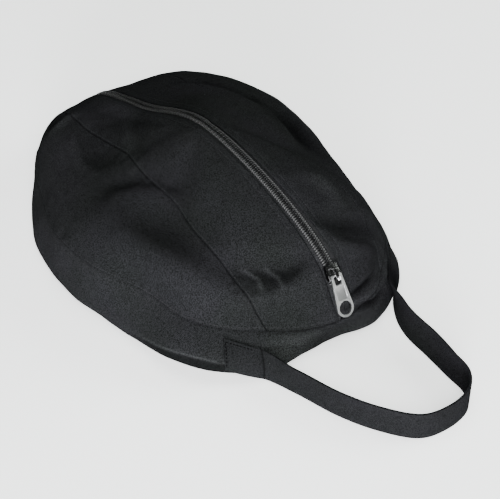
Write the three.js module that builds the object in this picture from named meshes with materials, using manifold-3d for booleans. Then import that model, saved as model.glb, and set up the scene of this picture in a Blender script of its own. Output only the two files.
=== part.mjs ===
// A soft riding helmet bag of black cloth: two centre panels with a long zip between them, two side
// panels, a band round the foot, a flat base, and a loop of webbing sewn to the front of the band.
// Millimetres, +Z up. The origin lies under the bag's middle, the zip pull and the loop face -Y.
import * as THREE from "three";
import { mergeVertices } from "three/addons/utils/BufferGeometryUtils.js";
import Module from "manifold-3d";

const wasm = await Module();
wasm.setup();

// Sizes of the sewn bag
const bagLength = 372;
const bagWidth = 292;
const bagHeight = 118;
const clothThickness = 1.5;
const seamGap = 0.3;
const footCurl = 7;
const baseTuck = 9;
const seamTilt = 0.45;

// Sizes of the zip
const openingLeft = 6.3;
const openingRight = 7.4;
const tapeReach = 15;
const tapeThickness = 0.8;
const coilWidth = 4;
const coilHeight = 2.4;
const coilGap = 0.15;
const coilAhead = 1;
const zipEndMargin = 4;
const zipHold = 22;

// Sizes of the slider and its pull tab
const sliderFromFront = 42;
const sliderLength = 15;
const sliderFlange = 0.8;
const sliderPlate = 1.2;
const sliderNose = 0.72;
const sliderShoulder = 0.55;
const sliderTail = 0.85;
const sliderPost = 1.2;
const sliderPostLength = 3.2;
const sliderPartLength = 4.5;
const sliderPlay = 0.7;
const archLength = 9.4;
const archWidth = 3;
const archThickness = 1.2;
const archHeight = 4.8;
const archBend = 1.9;
const archBendInner = 0.85;
const pullLength = 37;
const pullNeckWidth = 10;
const pullTipWidth = 15.4;
const pullThickness = 1.7;
const pullSlotLength = 7.4;
const pullSlotWidth = 6.4;
const pullSlotCorner = 1.4;
const pullBar = 1.5;
const pullBarHeight = 2;
const pullPitch = 9;
const pullHole = 12;
const pullWindowLength = 11.6;
const pullWindowWidth = 9;
const pullWindowDepth = 0.45;
const pullWindowCorner = 1.3;
const runningClearance = 0.35;

// Sizes of the webbing loop
const webbingWidth = 25;
const webbingThickness = 1.8;
const webbingSewnLength = 31;
const webbingTurn = 29;
const webbingLift = 7;
const webbingRest = 0.2;
const webbingStandOff = 0.45;
const webbingSettle = 0.09;
const loopReach = 130.5;
const loopSpan = 150;

// How finely each surface is divided
const panelSteps = 34;
const centreAcross = 4;
const sideAcross = 9;
const bandSteps = 76;
const bandSamples = 720;
const zipFrontSteps = 11;
const zipBackSteps = 31;
const cutSteps = 6;
const webbingSteps = 52;
const webbingAcross = 4;
const webbingSewnSteps = 6;
const routeSamples = 600;
const sampleTurn = 0.2;
const sampleShare = 0.004;

// The shell's wall by direction from the crown: turn is in degrees from the front towards the left
// side. reach and foot are where the band begins and ends, as shares of the half length and half
// width. seam, shoulder and flank are the heights at the band, near it and half way, as shares of
// the bag's height, and fold is the height of the band's lower fold in the same shares.
const WALL = [
  { turn: 0, reach: 0.985, foot: 0.965, seam: 0.205, shoulder: 0.585, flank: 0.87, fold: 0.05 },
  { turn: 14, reach: 0.96, foot: 0.98, seam: 0.21, shoulder: 0.585, flank: 0.86, fold: 0.05 },
  { turn: 27, reach: 0.955, foot: 1.07, seam: 0.25, shoulder: 0.57, flank: 0.85, fold: 0.06 },
  { turn: 36, reach: 0.965, foot: 1.09, seam: 0.29, shoulder: 0.56, flank: 0.83, fold: 0.08 },
  { turn: 48, reach: 0.945, foot: 1.09, seam: 0.34, shoulder: 0.55, flank: 0.81, fold: 0.09 },
  { turn: 62, reach: 0.915, foot: 1.03, seam: 0.39, shoulder: 0.56, flank: 0.78, fold: 0.07 },
  { turn: 80, reach: 0.96, foot: 0.99, seam: 0.42, shoulder: 0.565, flank: 0.76, fold: 0.06 },
  { turn: 100, reach: 0.97, foot: 1.015, seam: 0.41, shoulder: 0.57, flank: 0.74, fold: 0.05 },
  { turn: 122, reach: 0.935, foot: 1.005, seam: 0.36, shoulder: 0.59, flank: 0.715, fold: 0.05 },
  { turn: 145, reach: 1.02, foot: 1.025, seam: 0.32, shoulder: 0.635, flank: 0.72, fold: 0.05 },
  { turn: 168, reach: 1.01, foot: 1, seam: 0.375, shoulder: 0.595, flank: 0.74, fold: 0.05 },
  { turn: 190, reach: 1.01, foot: 0.985, seam: 0.405, shoulder: 0.58, flank: 0.77, fold: 0.05 },
  { turn: 212, reach: 1.02, foot: 0.98, seam: 0.42, shoulder: 0.65, flank: 0.825, fold: 0.05 },
  { turn: 235, reach: 1.035, foot: 0.98, seam: 0.425, shoulder: 0.625, flank: 0.815, fold: 0.05 },
  { turn: 258, reach: 0.96, foot: 0.97, seam: 0.41, shoulder: 0.565, flank: 0.75, fold: 0.05 },
  { turn: 280, reach: 0.86, foot: 0.94, seam: 0.36, shoulder: 0.44, flank: 0.71, fold: 0.05 },
  { turn: 298, reach: 0.86, foot: 0.95, seam: 0.33, shoulder: 0.475, flank: 0.76, fold: 0.05 },
  { turn: 314, reach: 0.925, foot: 0.99, seam: 0.32, shoulder: 0.55, flank: 0.83, fold: 0.05 },
  { turn: 328, reach: 0.98, foot: 1.055, seam: 0.275, shoulder: 0.59, flank: 0.85, fold: 0.05 },
  { turn: 345, reach: 0.985, foot: 1.025, seam: 0.22, shoulder: 0.585, flank: 0.87, fold: 0.05 },
];

// The same rings on the way out from the crown: step counts along the cloth, reach over the plan.
const RINGS = [
  { step: 0, reach: 0 },
  { step: 0.42, reach: 0.5 },
  { step: 0.77, reach: 0.88 },
  { step: 1, reach: 1 },
];

// The seam between centre and side panels: across is its place from the zip to the band, by place
// along the bag from the front, -1, to the back, 1.
const PANEL_SEAM = [
  { along: -1, across: 0.61 },
  { along: -0.66, across: 0.475 },
  { along: -0.33, across: 0.415 },
  { along: 0, across: 0.375 },
  { along: 0.36, across: 0.32 },
  { along: 0.65, across: 0.355 },
  { along: 1, across: 0.4 },
];

// Dents and folds: across and along are shares of the half width and half length, heading is in
// degrees from the X axis, long and wide are shares of the bag's length, and depth of its height.
const FOLDS = [
  { across: -0.55, along: -0.22, heading: 101, long: 0.13, wide: 0.05, depth: -0.05 },
  { across: -0.76, along: -0.3, heading: 104, long: 0.16, wide: 0.05, depth: 0.025 },
  { across: -0.3, along: -0.76, heading: -29, long: 0.075, wide: 0.032, depth: -0.05 },
  { across: 0.25, along: -0.79, heading: -14, long: 0.075, wide: 0.025, depth: -0.035 },
  { across: 0.71, along: 0.14, heading: 90, long: 0.12, wide: 0.045, depth: -0.04 },
  { across: -0.47, along: 0.42, heading: 70, long: 0.08, wide: 0.04, depth: -0.045 },
  { across: -0.2, along: 0.5, heading: 95, long: 0.12, wide: 0.035, depth: -0.025 },
];

// The free loop of webbing, from its left end: across is a share of the span between its sewn
// ends, out a share of its reach, and lean how far its upper edge stands out, of its width.
const LOOP = [
  { across: -0.447, out: 0.242, lean: 0 },
  { across: -0.38, out: 0.53, lean: 0 },
  { across: -0.287, out: 0.766, lean: 0 },
  { across: -0.16, out: 0.953, lean: 0 },
  { across: 0, out: 1, lean: 0 },
  { across: 0.16, out: 0.969, lean: 0 },
  { across: 0.245, out: 0.86, lean: 0 },
  { across: 0.264, out: 0.695, lean: 0.1 },
  { across: 0.287, out: 0.49, lean: 0.2 },
  { across: 0.307, out: 0.289, lean: 0.2 },
  { across: 0.36, out: 0.13, lean: 0.1 },
];

// A smooth curve through a table's column, at a place on its key column. With a period it closes.
function readTable(table, key, column, at, period = 0) {
  const keyAt = (k) => {
    const turns = Math.floor(k / table.length);
    return table[k - turns * table.length][key] + turns * period;
  };
  const valueAt = (k) => table[k - Math.floor(k / table.length) * table.length][column];
  const last = table.length - 1;
  const first = table[0][key];
  const place = period ? first + ((((at - first) % period) + period) % period) : at;
  let row = 0;
  while (row < (period ? last : last - 1) && keyAt(row + 1) <= place) {
    row += 1;
  }
  const slope = (k) => {
    const before = period ? k - 1 : Math.max(k - 1, 0);
    const after = period ? k + 1 : Math.min(k + 1, last);
    return (valueAt(after) - valueAt(before)) / (keyAt(after) - keyAt(before));
  };
  const span = keyAt(row + 1) - keyAt(row);
  const t = (place - keyAt(row)) / span;
  return (
    valueAt(row) * (2 * t ** 3 - 3 * t ** 2 + 1) +
    slope(row) * span * (t ** 3 - 2 * t ** 2 + t) +
    valueAt(row + 1) * (3 * t ** 2 - 2 * t ** 3) +
    slope(row + 1) * span * (t ** 3 - t ** 2)
  );
}

const wallAt = (column, turn) => readTable(WALL, "turn", column, turn, 360);

// A point over the plan, at a direction and a share of the way out.
function planPoint(turn, reach, height) {
  const angle = THREE.MathUtils.degToRad(turn);
  return new THREE.Vector3(
    (-Math.sin(angle) * reach * bagWidth) / 2,
    (-Math.cos(angle) * reach * bagLength) / 2,
    height,
  );
}

// The height at a step out from the crown: level at the crown, through the flank and the shoulder.
function heightShare(turn, step) {
  const heights = [1, wallAt("flank", turn), wallAt("shoulder", turn), wallAt("seam", turn)];
  let k = 0;
  while (k < 2 && step > RINGS[k + 1].step) {
    k += 1;
  }
  const slopeAt = (i) => {
    if (i === 0) {
      return 0;
    }
    const after = Math.min(i + 1, 3);
    return (heights[after] - heights[i - 1]) / (RINGS[after].step - RINGS[i - 1].step);
  };
  const span = RINGS[k + 1].step - RINGS[k].step;
  const t = (step - RINGS[k].step) / span;
  return (
    heights[k] * (2 * t ** 3 - 3 * t ** 2 + 1) +
    slopeAt(k) * span * (t ** 3 - 2 * t ** 2 + t) +
    heights[k + 1] * (3 * t ** 2 - 2 * t ** 3) +
    slopeAt(k + 1) * span * (t ** 3 - t ** 2)
  );
}

// How far the dents and folds lift the cloth at a place in plan. The stiff zip holds it flat.
function foldLift(x, y) {
  let lift = 0;
  for (const fold of FOLDS) {
    const heading = THREE.MathUtils.degToRad(fold.heading);
    const dx = x - (fold.across * bagWidth) / 2;
    const dy = y - (fold.along * bagLength) / 2;
    const along = (dx * Math.cos(heading) + dy * Math.sin(heading)) / (fold.long * bagLength);
    const aside = (dy * Math.cos(heading) - dx * Math.sin(heading)) / (fold.wide * bagLength);
    lift += fold.depth * bagHeight * Math.exp(-along * along - aside * aside);
  }
  return lift * (1 - Math.exp(-((x / zipHold) ** 2)));
}

// The direction and step of a place on the panels. u runs from the left of the band to the right
// and v from its front to its back, and the square of both fills the round plan.
function discPlace(u, v) {
  const x = u * Math.sqrt(1 - (v * v) / 2);
  const y = v * Math.sqrt(1 - (u * u) / 2);
  return { turn: THREE.MathUtils.radToDeg(Math.atan2(-x, -y)), step: Math.min(Math.hypot(x, y), 1) };
}

// The outer surface of the panels.
function topPoint(u, v) {
  const { turn, step } = discPlace(u, v);
  const reach = readTable(RINGS, "step", "reach", step) * wallAt("reach", turn);
  const point = planPoint(turn, reach, heightShare(turn, step) * bagHeight);
  const fade = 1 - step ** 6;
  point.z += foldLift(point.x, point.y) * fade;
  return point;
}

// The outward direction of the panels' surface.
function topNormal(u, v) {
  const a = topPoint(Math.min(u + sampleShare, 1), v).sub(topPoint(Math.max(u - sampleShare, -1), v));
  const b = topPoint(u, Math.min(v + sampleShare, 1)).sub(topPoint(u, Math.max(v - sampleShare, -1)));
  return a.cross(b).normalize();
}

// The direction that the cloth's edges face across the band seam, shared by panels and band.
function seamNormal(turn) {
  const a = planPoint(turn + 1, wallAt("reach", turn + 1), 0);
  const b = planPoint(turn - 1, wallAt("reach", turn - 1), 0);
  const along = a.sub(b).normalize();
  return new THREE.Vector3(-along.y, along.x, seamTilt).normalize();
}

// A closed wall between two grids of points of the same size, with rims along its open edges.
function wallBetween(outer, inner, closesRound = false) {
  const rows = outer.length;
  const columns = outer[0].length;
  const positions = [];
  for (const grid of [outer, inner]) {
    for (const line of grid) {
      for (const point of line) {
        positions.push(point.x, point.y, point.z);
      }
    }
  }
  const at = (side, row, column) => side * rows * columns + (row % rows) * columns + column;
  const index = [];
  const addQuad = (a, b, c, d) => index.push(a, b, c, a, c, d);
  const lastRow = closesRound ? rows : rows - 1;
  const middle = (rows - 1) / 2;
  for (let row = 0; row < lastRow; row += 1) {
    for (let column = 0; column < columns - 1; column += 1) {
      for (const side of [0, 1]) {
        const corners = [
          at(side, row, column),
          at(side, row + 1, column),
          at(side, row + 1, column + 1),
          at(side, row, column + 1),
        ];
        if (row >= middle) {
          corners.push(corners.shift());
        }
        if (side === 1) {
          corners.reverse();
          corners.push(corners.shift());
        }
        addQuad(...corners);
      }
    }
    addQuad(at(1, row, 0), at(1, row + 1, 0), at(0, row + 1, 0), at(0, row, 0));
    const end = columns - 1;
    addQuad(at(0, row, end), at(0, row + 1, end), at(1, row + 1, end), at(1, row, end));
  }
  if (!closesRound) {
    for (let column = 0; column < columns - 1; column += 1) {
      const end = rows - 1;
      addQuad(at(0, 0, column), at(0, 0, column + 1), at(1, 0, column + 1), at(1, 0, column));
      addQuad(at(1, end, column), at(1, end, column + 1), at(0, end, column + 1), at(0, end, column));
    }
  }
  return closedGeometry(positions, index);
}

// A geometry from positions and triangles, turned so that its faces point outwards.
function closedGeometry(positions, index) {
  const geometry = new THREE.BufferGeometry();
  geometry.setAttribute("position", new THREE.Float32BufferAttribute(positions, 3));
  geometry.setIndex(index);
  if (signedVolume(geometry) < 0) {
    geometry.setIndex(index.toReversed());
  }
  geometry.computeVertexNormals();
  return geometry;
}

function signedVolume(geometry) {
  const place = geometry.attributes.position;
  const index = geometry.index;
  const corner = [0, 1, 2].map(() => new THREE.Vector3());
  let volume = 0;
  for (let k = 0; k < index.count; k += 3) {
    corner.forEach((point, n) => point.fromBufferAttribute(place, index.getX(k + n)));
    volume += corner[0].dot(corner[1].cross(corner[2])) / 6;
  }
  return volume;
}

const material = (name, color, roughness, metalness) =>
  new THREE.MeshStandardMaterial({ name, color, roughness, metalness });
const clothMaterial = material("black_twill", 0x1a1b1c, 0.9, 0);
const webbingMaterial = material("black_webbing", 0x202122, 0.8, 0);
const tapeMaterial = material("black_zip_tape", 0x121314, 0.9, 0);
const coilMaterial = material("black_zip_coil", 0x2a2c2c, 0.35, 0);
const sliderMaterial = material("dark_slider_metal", 0x6c6e6e, 0.35, 0.9);
const pullMaterial = material("grey_pull_metal", 0x9a9c9c, 0.4, 0.9);

const bag = new THREE.Group();

function addMesh(name, geometry, look) {
  const mesh = new THREE.Mesh(geometry, look);
  mesh.name = name;
  bag.add(mesh);
  return mesh;
}

// Millimetres of cloth for one unit of u, at a place on the panels.
function spanAcross(u, v) {
  const from = Math.max(u - sampleShare, -1);
  const to = Math.min(u + sampleShare, 1);
  return topPoint(to, v).distanceTo(topPoint(from, v)) / (to - from);
}

// The direction that the cloth faces, at its edges on the band seam the one shared with the band.
function clothNormal(u, v) {
  const { turn, step } = discPlace(u, v);
  return step > 1 - sampleShare / 10 ? seamNormal(turn) : topNormal(u, v);
}

const rowV = (row) => -1 + (2 * row) / panelSteps;

// A panel of the shell. Its columns are functions of v that give the places of u across it.
function panelGeometry(columns) {
  const outer = [];
  const inner = [];
  for (let row = 0; row <= panelSteps; row += 1) {
    const v = rowV(row);
    const places = columns.map((column) => column(v));
    outer.push(places.map((u) => topPoint(u, v)));
    inner.push(places.map((u) => topPoint(u, v).addScaledVector(clothNormal(u, v), -clothThickness)));
  }
  return wallBetween(outer, inner);
}

// The lines from one edge of a panel to another, both included.
function columnsBetween(from, to, count) {
  return Array.from({ length: count + 1 }, (_, k) => (v) => THREE.MathUtils.lerp(from(v), to(v), k / count));
}

// The centre panels run from the zip to the panel seam, the side panels from there to the band.
const seamU = (v) => readTable(PANEL_SEAM, "along", "across", v);
for (const [side, sign, opening] of [["left", -1, openingLeft], ["right", 1, openingRight]]) {
  const fromZip = (distance) => (v) => (sign * distance) / spanAcross(0, v);
  const fromSeam = (distance) => (v) => {
    const u = sign * seamU(v);
    return u + (sign * distance) / spanAcross(u, v);
  };
  const overTape = fromZip(tapeReach);
  const centreEdge = fromSeam(-seamGap / 2);
  const centreColumns = [fromZip(opening), ...columnsBetween(overTape, centreEdge, centreAcross - 1)];
  addMesh("centre_panel_" + side, panelGeometry(centreColumns), clothMaterial);
  const sideColumns = columnsBetween(fromSeam(seamGap / 2), () => sign, sideAcross);
  addMesh("side_panel_" + side, panelGeometry(sideColumns), clothMaterial);
}

// A point of the band's outer surface at a height, above its lower fold.
function bandPoint(turn, height) {
  const top = wallAt("seam", turn) * bagHeight;
  const fold = wallAt("fold", turn) * bagHeight;
  const down = THREE.MathUtils.clamp((top - height) / (top - fold), 0, 1);
  const eased = Math.sin((down * Math.PI) / 2);
  const reach = THREE.MathUtils.lerp(wallAt("reach", turn), wallAt("foot", turn), eased);
  return planPoint(turn, reach, height);
}

// The direction that the band faces at a height.
function bandNormal(turn, height) {
  const along = bandPoint(turn + 1, height).sub(bandPoint(turn - 1, height));
  const upward = bandPoint(turn, height + 1).sub(bandPoint(turn, height - 1));
  return along.cross(upward).negate().normalize();
}

// The band's section at a direction, from the band seam to the edge of the base.
function bandSection(turn) {
  const edge = seamNormal(turn);
  const level = new THREE.Vector3(edge.x, edge.y, 0).normalize();
  const seamPoint = bandPoint(turn, wallAt("seam", turn) * bagHeight);
  const top = wallAt("seam", turn) * bagHeight;
  const fold = wallAt("fold", turn) * bagHeight;
  const downEdge = new THREE.Vector3(edge.x * edge.z, edge.y * edge.z, edge.z * edge.z - 1).normalize();
  const section = [{ point: seamPoint.clone().addScaledVector(downEdge, seamGap), out: edge }];
  for (const share of [0.25, 0.5, 0.75, 1]) {
    const point = bandPoint(turn, THREE.MathUtils.lerp(top, fold, share));
    section.push({ point, out: level });
  }
  const foot = bandPoint(turn, fold);
  for (const part of [0.5, 1]) {
    const angle = (part * Math.PI) / 2;
    const inward = footCurl * (1 - Math.cos(angle));
    const point = foot.clone().addScaledVector(level, -inward);
    point.z = fold * (1 - Math.sin(angle));
    const out = level.clone().multiplyScalar(Math.cos(angle));
    out.z = -Math.sin(angle);
    section.push({ point, out });
  }
  const end = foot.clone().addScaledVector(level, -footCurl - baseTuck);
  end.z = 0;
  section.push({ point: end, out: new THREE.Vector3(0, 0, -1) });
  return section;
}

// Directions spaced evenly round the band, by its length.
function evenTurns(count) {
  const turnAt = (k) => (k * 360) / bandSamples;
  const seamAt = (k) => planPoint(turnAt(k), wallAt("reach", turnAt(k)), 0);
  const lengths = [0];
  for (let k = 1; k <= bandSamples; k += 1) {
    lengths.push(lengths[k - 1] + seamAt(k).distanceTo(seamAt(k - 1)));
  }
  const turns = [];
  let k = 0;
  for (let n = 0; n < count; n += 1) {
    const wanted = (lengths[bandSamples] * n) / count;
    while (lengths[k + 1] <= wanted) {
      k += 1;
    }
    turns.push(turnAt(k + (wanted - lengths[k]) / (lengths[k + 1] - lengths[k])));
  }
  return turns;
}

const bandSections = evenTurns(bandSteps).map(bandSection);
addMesh(
  "base_band",
  wallBetween(
    bandSections.map((section) => section.map(({ point }) => point)),
    bandSections.map((section) =>
      section.map(({ point, out }) => point.clone().addScaledVector(out, -clothThickness)),
    ),
    true,
  ),
  clothMaterial,
);

// The flat base lies inside the band's turned-in edge.
const baseOutline = new THREE.Shape(
  bandSections.map((section) => {
    const end = section.at(-1).point;
    const before = section.at(-2).point;
    const inward = end.clone().sub(before).setZ(0).normalize();
    const corner = end.clone().addScaledVector(inward, seamGap);
    return new THREE.Vector2(corner.x, corner.y);
  }),
);
addMesh(
  "base_panel",
  new THREE.ExtrudeGeometry(baseOutline, { depth: clothThickness, bevelEnabled: false }),
  clothMaterial,
);

// Evenly spaced points along a close row of points.
function evenAlong(points, count) {
  const lengths = [0];
  for (let k = 1; k < points.length; k += 1) {
    lengths.push(lengths[k - 1] + points[k].distanceTo(points[k - 1]));
  }
  const total = lengths.at(-1);
  let k = 0;
  return Array.from({ length: count + 1 }, (_, n) => {
    const wanted = (total * n) / count;
    while (k < points.length - 2 && lengths[k + 1] < wanted) {
      k += 1;
    }
    return points[k].clone().lerp(points[k + 1], (wanted - lengths[k]) / (lengths[k + 1] - lengths[k]));
  });
}

// The zip lies under the edges of the centre panels, on the line u = 0, and bends where the panels'
// rows do. Its places are distances along the cloth from the band seam at the front.
const zipRows = [0];
for (let row = 1; row <= panelSteps; row += 1) {
  zipRows.push(zipRows[row - 1] + topPoint(0, rowV(row)).distanceTo(topPoint(0, rowV(row - 1))));
}
const zipLength = zipRows[panelSteps];

// A point across the zip by one distance, and down from the shell's surface by another.
function zipPoint(distance, across, depth) {
  let row = 0;
  while (row < panelSteps - 1 && zipRows[row + 1] < distance) {
    row += 1;
  }
  const onRow = (k) => {
    const u = across / spanAcross(0, rowV(k));
    return topPoint(u, rowV(k)).addScaledVector(clothNormal(u, rowV(k)), -depth);
  };
  return onRow(row).lerp(onRow(row + 1), (distance - zipRows[row]) / (zipRows[row + 1] - zipRows[row]));
}

// In front of the slider the zip's two halves part, to pass on either side of the slider's post.
function zipSplay(distance) {
  const open = sliderPost / 2 + runningClearance - coilGap;
  const closed = sliderFromFront + sliderPostLength / 2 + sliderPartLength;
  return open * THREE.MathUtils.clamp((closed - distance) / sliderPartLength, 0, 1);
}

const tapeDepth = clothThickness + seamGap;
const places = (from, to, count) =>
  Array.from({ length: count + 1 }, (_, k) => THREE.MathUtils.lerp(from, to, k / count));

// The zip's places from one distance to its back end, with a closer step up to the slider's back.
function zipPlaces(from) {
  const sliderBackEnd = sliderFromFront + sliderLength;
  return [
    ...places(from, sliderBackEnd, zipFrontSteps),
    ...places(sliderBackEnd, zipLength - zipEndMargin, zipBackSteps).slice(1),
  ];
}

const tapePlaces = zipPlaces(zipEndMargin);
for (const [side, sign] of [["left", -1], ["right", 1]]) {
  const lineAt = (depth) => (distance) => {
    const inner = coilGap + zipSplay(distance);
    return [inner, (inner + tapeReach) / 2, tapeReach].map((x) => zipPoint(distance, sign * x, depth));
  };
  addMesh(
    "zip_tape_" + side,
    wallBetween(tapePlaces.map(lineAt(tapeDepth)), tapePlaces.map(lineAt(tapeDepth + tapeThickness))),
    tapeMaterial,
  );
}

// Each half of the chain is one rail with six sides, standing on its tape.
const coilBase = tapeDepth - seamGap;
const railSection = [
  { across: 0.16, up: 0 },
  { across: 0, up: 0.5 },
  { across: 0.16, up: 1 },
  { across: 0.84, up: 1 },
  { across: 1, up: 0.5 },
  { across: 0.84, up: 0 },
];
const railPlaces = zipPlaces(sliderFromFront - sliderLength / 2 - coilAhead);
for (const [side, sign] of [["left", -1], ["right", 1]]) {
  const rings = railPlaces.map((distance) => {
    const inner = coilGap + zipSplay(distance);
    return railSection.map(({ across, up }) =>
      zipPoint(distance, sign * (inner + across * coilWidth), coilBase - up * coilHeight),
    );
  });
  addMesh("zip_coil_" + side, barThrough(rings), coilMaterial);
}

// A closed bar through rings of points, with a flat cap at each end.
function barThrough(rings) {
  const sides = rings[0].length;
  const positions = rings.flat().flatMap((point) => point.toArray());
  const index = [];
  for (let ring = 0; ring < rings.length - 1; ring += 1) {
    for (let side = 0; side < sides; side += 1) {
      const a = ring * sides + side;
      const b = ring * sides + ((side + 1) % sides);
      index.push(a, b, b + sides, a, b + sides, a + sides);
    }
  }
  const end = (rings.length - 1) * sides;
  for (let side = 1; side < sides - 1; side += 1) {
    index.push(0, side + 1, side, end, end + side, end + side + 1);
  }
  return closedGeometry(positions, index);
}

// A piece made by joining and cutting closed solids.
function solidOf(geometry) {
  const bare = geometry.clone();
  bare.deleteAttribute("normal");
  bare.deleteAttribute("uv");
  const merged = mergeVertices(bare);
  const vertProperties = merged.attributes.position.array;
  return new wasm.Manifold(
    new wasm.Mesh({ numProp: 3, vertProperties, triVerts: new Uint32Array(merged.index.array) }),
  );
}

function geometryOf(solid) {
  const mesh = solid.getMesh();
  const geometry = new THREE.BufferGeometry();
  geometry.setAttribute("position", new THREE.Float32BufferAttribute(mesh.vertProperties, 3));
  geometry.setIndex([...mesh.triVerts]);
  return geometry;
}

// A plate from an outline in X and Y, between two heights.
function plate(outline, low, high) {
  const geometry = new THREE.ExtrudeGeometry(outline, {
    depth: high - low,
    bevelEnabled: false,
    curveSegments: cutSteps,
  });
  return geometry.translate(0, 0, low);
}

function box(width, from, to, low, high) {
  const geometry = new THREE.BoxGeometry(width, to - from, high - low);
  return geometry.translate(0, (from + to) / 2, (low + high) / 2);
}

// An outline of straight sides with rounded corners.
function roundedOutline(corners, radius) {
  const shape = new THREE.Shape();
  corners.forEach((corner, k) => {
    const before = corners[(k + corners.length - 1) % corners.length];
    const after = corners[(k + 1) % corners.length];
    const start = corner.clone().add(before.clone().sub(corner).setLength(radius));
    const end = corner.clone().add(after.clone().sub(corner).setLength(radius));
    if (k === 0) {
      shape.moveTo(start.x, start.y);
    } else {
      shape.lineTo(start.x, start.y);
    }
    shape.quadraticCurveTo(corner.x, corner.y, end.x, end.y);
  });
  shape.closePath();
  return shape;
}

const corner2 = (x, y) => new THREE.Vector2(x, y);

// The slider's own frame: X across the zip, Y back up along it, Z out of the cloth.
const sliderFront = zipPoint(sliderFromFront - sliderLength / 2, 0, 0);
const sliderBack = zipPoint(sliderFromFront + sliderLength / 2, 0, 0);
const sliderMiddle = zipPoint(sliderFromFront, 0, 0);
const sliderAlong = sliderBack.clone().sub(sliderFront).normalize();
const sliderSide = zipPoint(sliderFromFront, coilWidth, 0).sub(zipPoint(sliderFromFront, -coilWidth, 0));
const sliderOut = sliderSide.cross(sliderAlong).normalize();
const sliderAcross = sliderAlong.clone().cross(sliderOut);
const sliderGroup = new THREE.Group();
sliderGroup.quaternion.setFromRotationMatrix(
  new THREE.Matrix4().makeBasis(sliderAcross, sliderAlong, sliderOut),
);
sliderGroup.position.copy(sliderFront).lerp(sliderBack, 0.5).lerp(sliderMiddle, 0.5);
sliderGroup.position.x = 0;
bag.add(sliderGroup);

// The slider is two plates round the chain, joined by a post between the zip's parting halves.
const mouthHalf = coilGap + zipSplay(0) + coilWidth + runningClearance + sliderFlange;
const tailHalf = mouthHalf - zipSplay(0);
const sliderEnd = sliderLength / 2;
const partFrom = sliderPostLength / 2;
const partTo = partFrom + sliderPartLength;
const sliderOutline = roundedOutline(
  [
    corner2(-mouthHalf * sliderNose, -sliderEnd),
    corner2(mouthHalf * sliderNose, -sliderEnd),
    corner2(mouthHalf, -sliderEnd * sliderShoulder),
    corner2(mouthHalf, partFrom),
    corner2(tailHalf, partTo),
    corner2(tailHalf * sliderTail, sliderEnd),
    corner2(-tailHalf * sliderTail, sliderEnd),
    corner2(-tailHalf, partTo),
    corner2(-mouthHalf, partFrom),
    corner2(-mouthHalf, -sliderEnd * sliderShoulder),
  ],
  sliderPlate / 3,
);
const coilTop = coilHeight - coilBase;
const topPlateLow = coilTop + sliderPlay;
const topPlateHigh = topPlateLow + sliderPlate;
const flangeLow = sliderPlay - tapeDepth;
const bottomPlateHigh = -tapeDepth - tapeThickness - sliderPlay;
const bottomPlateLow = bottomPlateHigh - sliderPlate;
const channelOutline = new THREE.Shape([
  corner2(sliderFlange - mouthHalf, -sliderLength),
  corner2(mouthHalf - sliderFlange, -sliderLength),
  corner2(mouthHalf - sliderFlange, partFrom),
  corner2(tailHalf - sliderFlange, partTo),
  corner2(tailHalf - sliderFlange, sliderLength),
  corner2(sliderFlange - tailHalf, sliderLength),
  corner2(sliderFlange - tailHalf, partTo),
  corner2(sliderFlange - mouthHalf, partFrom),
]);
const archFrom = -archLength / 2;

// The arch's side, drawn in Y and Z above the top plate.
function archSide(inset, low, radius) {
  const shape = new THREE.Shape();
  const half = archLength / 2 - inset;
  const high = archHeight - inset;
  shape.moveTo(-half, low);
  shape.lineTo(half, low);
  shape.lineTo(half, high - radius);
  shape.quadraticCurveTo(half, high, half - radius, high);
  shape.lineTo(-half + radius, high);
  shape.quadraticCurveTo(-half, high, -half, high - radius);
  shape.closePath();
  return shape;
}

// An upright plate whose outline is drawn in Y and Z, centred on X = 0.
function uprightPlate(outline, width) {
  const geometry = plate(outline, -width / 2, width / 2);
  return geometry.rotateY(Math.PI / 2).rotateX(Math.PI / 2);
}

// The arch and the post sink half way into the plates that they stand on.
const archSink = sliderPlate / 2;
const archCut = uprightPlate(archSide(archThickness, -sliderPlate, archBendInner), archWidth * 2);
const arch = solidOf(uprightPlate(archSide(0, -archSink, archBend), archWidth)).subtract(solidOf(archCut));
const archGeometry = geometryOf(arch).translate(0, 0, topPlateHigh);
const postFrom = -sliderPostLength * 1.5;
const postTo = postFrom + sliderPostLength;
const post = box(sliderPost, postFrom, postTo, bottomPlateLow + archSink, topPlateLow + archSink);
const slider = solidOf(plate(sliderOutline, flangeLow, topPlateHigh))
  .subtract(solidOf(plate(channelOutline, flangeLow - sliderPlate, topPlateLow)))
  .add(solidOf(plate(sliderOutline, bottomPlateLow, bottomPlateHigh)))
  .add(solidOf(post))
  .add(solidOf(archGeometry));
const sliderMesh = new THREE.Mesh(geometryOf(slider), sliderMaterial);
sliderMesh.name = "slider_body";
sliderGroup.add(sliderMesh);

// The pull tab turns on its own bar, which lies under the slider's arch. It is drawn flat, pointing
// along -Y from the bar, and the group tips it until it lies on the slider's nose.
const pullGroup = new THREE.Group();
pullGroup.position.set(0, archFrom + archThickness + pullBar, topPlateHigh + pullBarHeight);
pullGroup.rotation.x = THREE.MathUtils.degToRad(pullPitch);
sliderGroup.add(pullGroup);
const pullStart = pullBar / 2;
const tipRadius = pullTipWidth / 2;
const tipMiddle = -(pullLength - pullStart - tipRadius);
const pullOutline = new THREE.Shape();
pullOutline.moveTo(pullNeckWidth / 2 - pullBar, pullStart);
pullOutline.quadraticCurveTo(pullNeckWidth / 2, pullStart, pullNeckWidth / 2, pullStart - pullBar);
pullOutline.lineTo(tipRadius, tipMiddle);
pullOutline.absarc(0, tipMiddle, tipRadius, 0, -Math.PI, true);
pullOutline.lineTo(-pullNeckWidth / 2, pullStart - pullBar);
pullOutline.quadraticCurveTo(-pullNeckWidth / 2, pullStart, -pullNeckWidth / 2 + pullBar, pullStart);
pullOutline.closePath();

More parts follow.
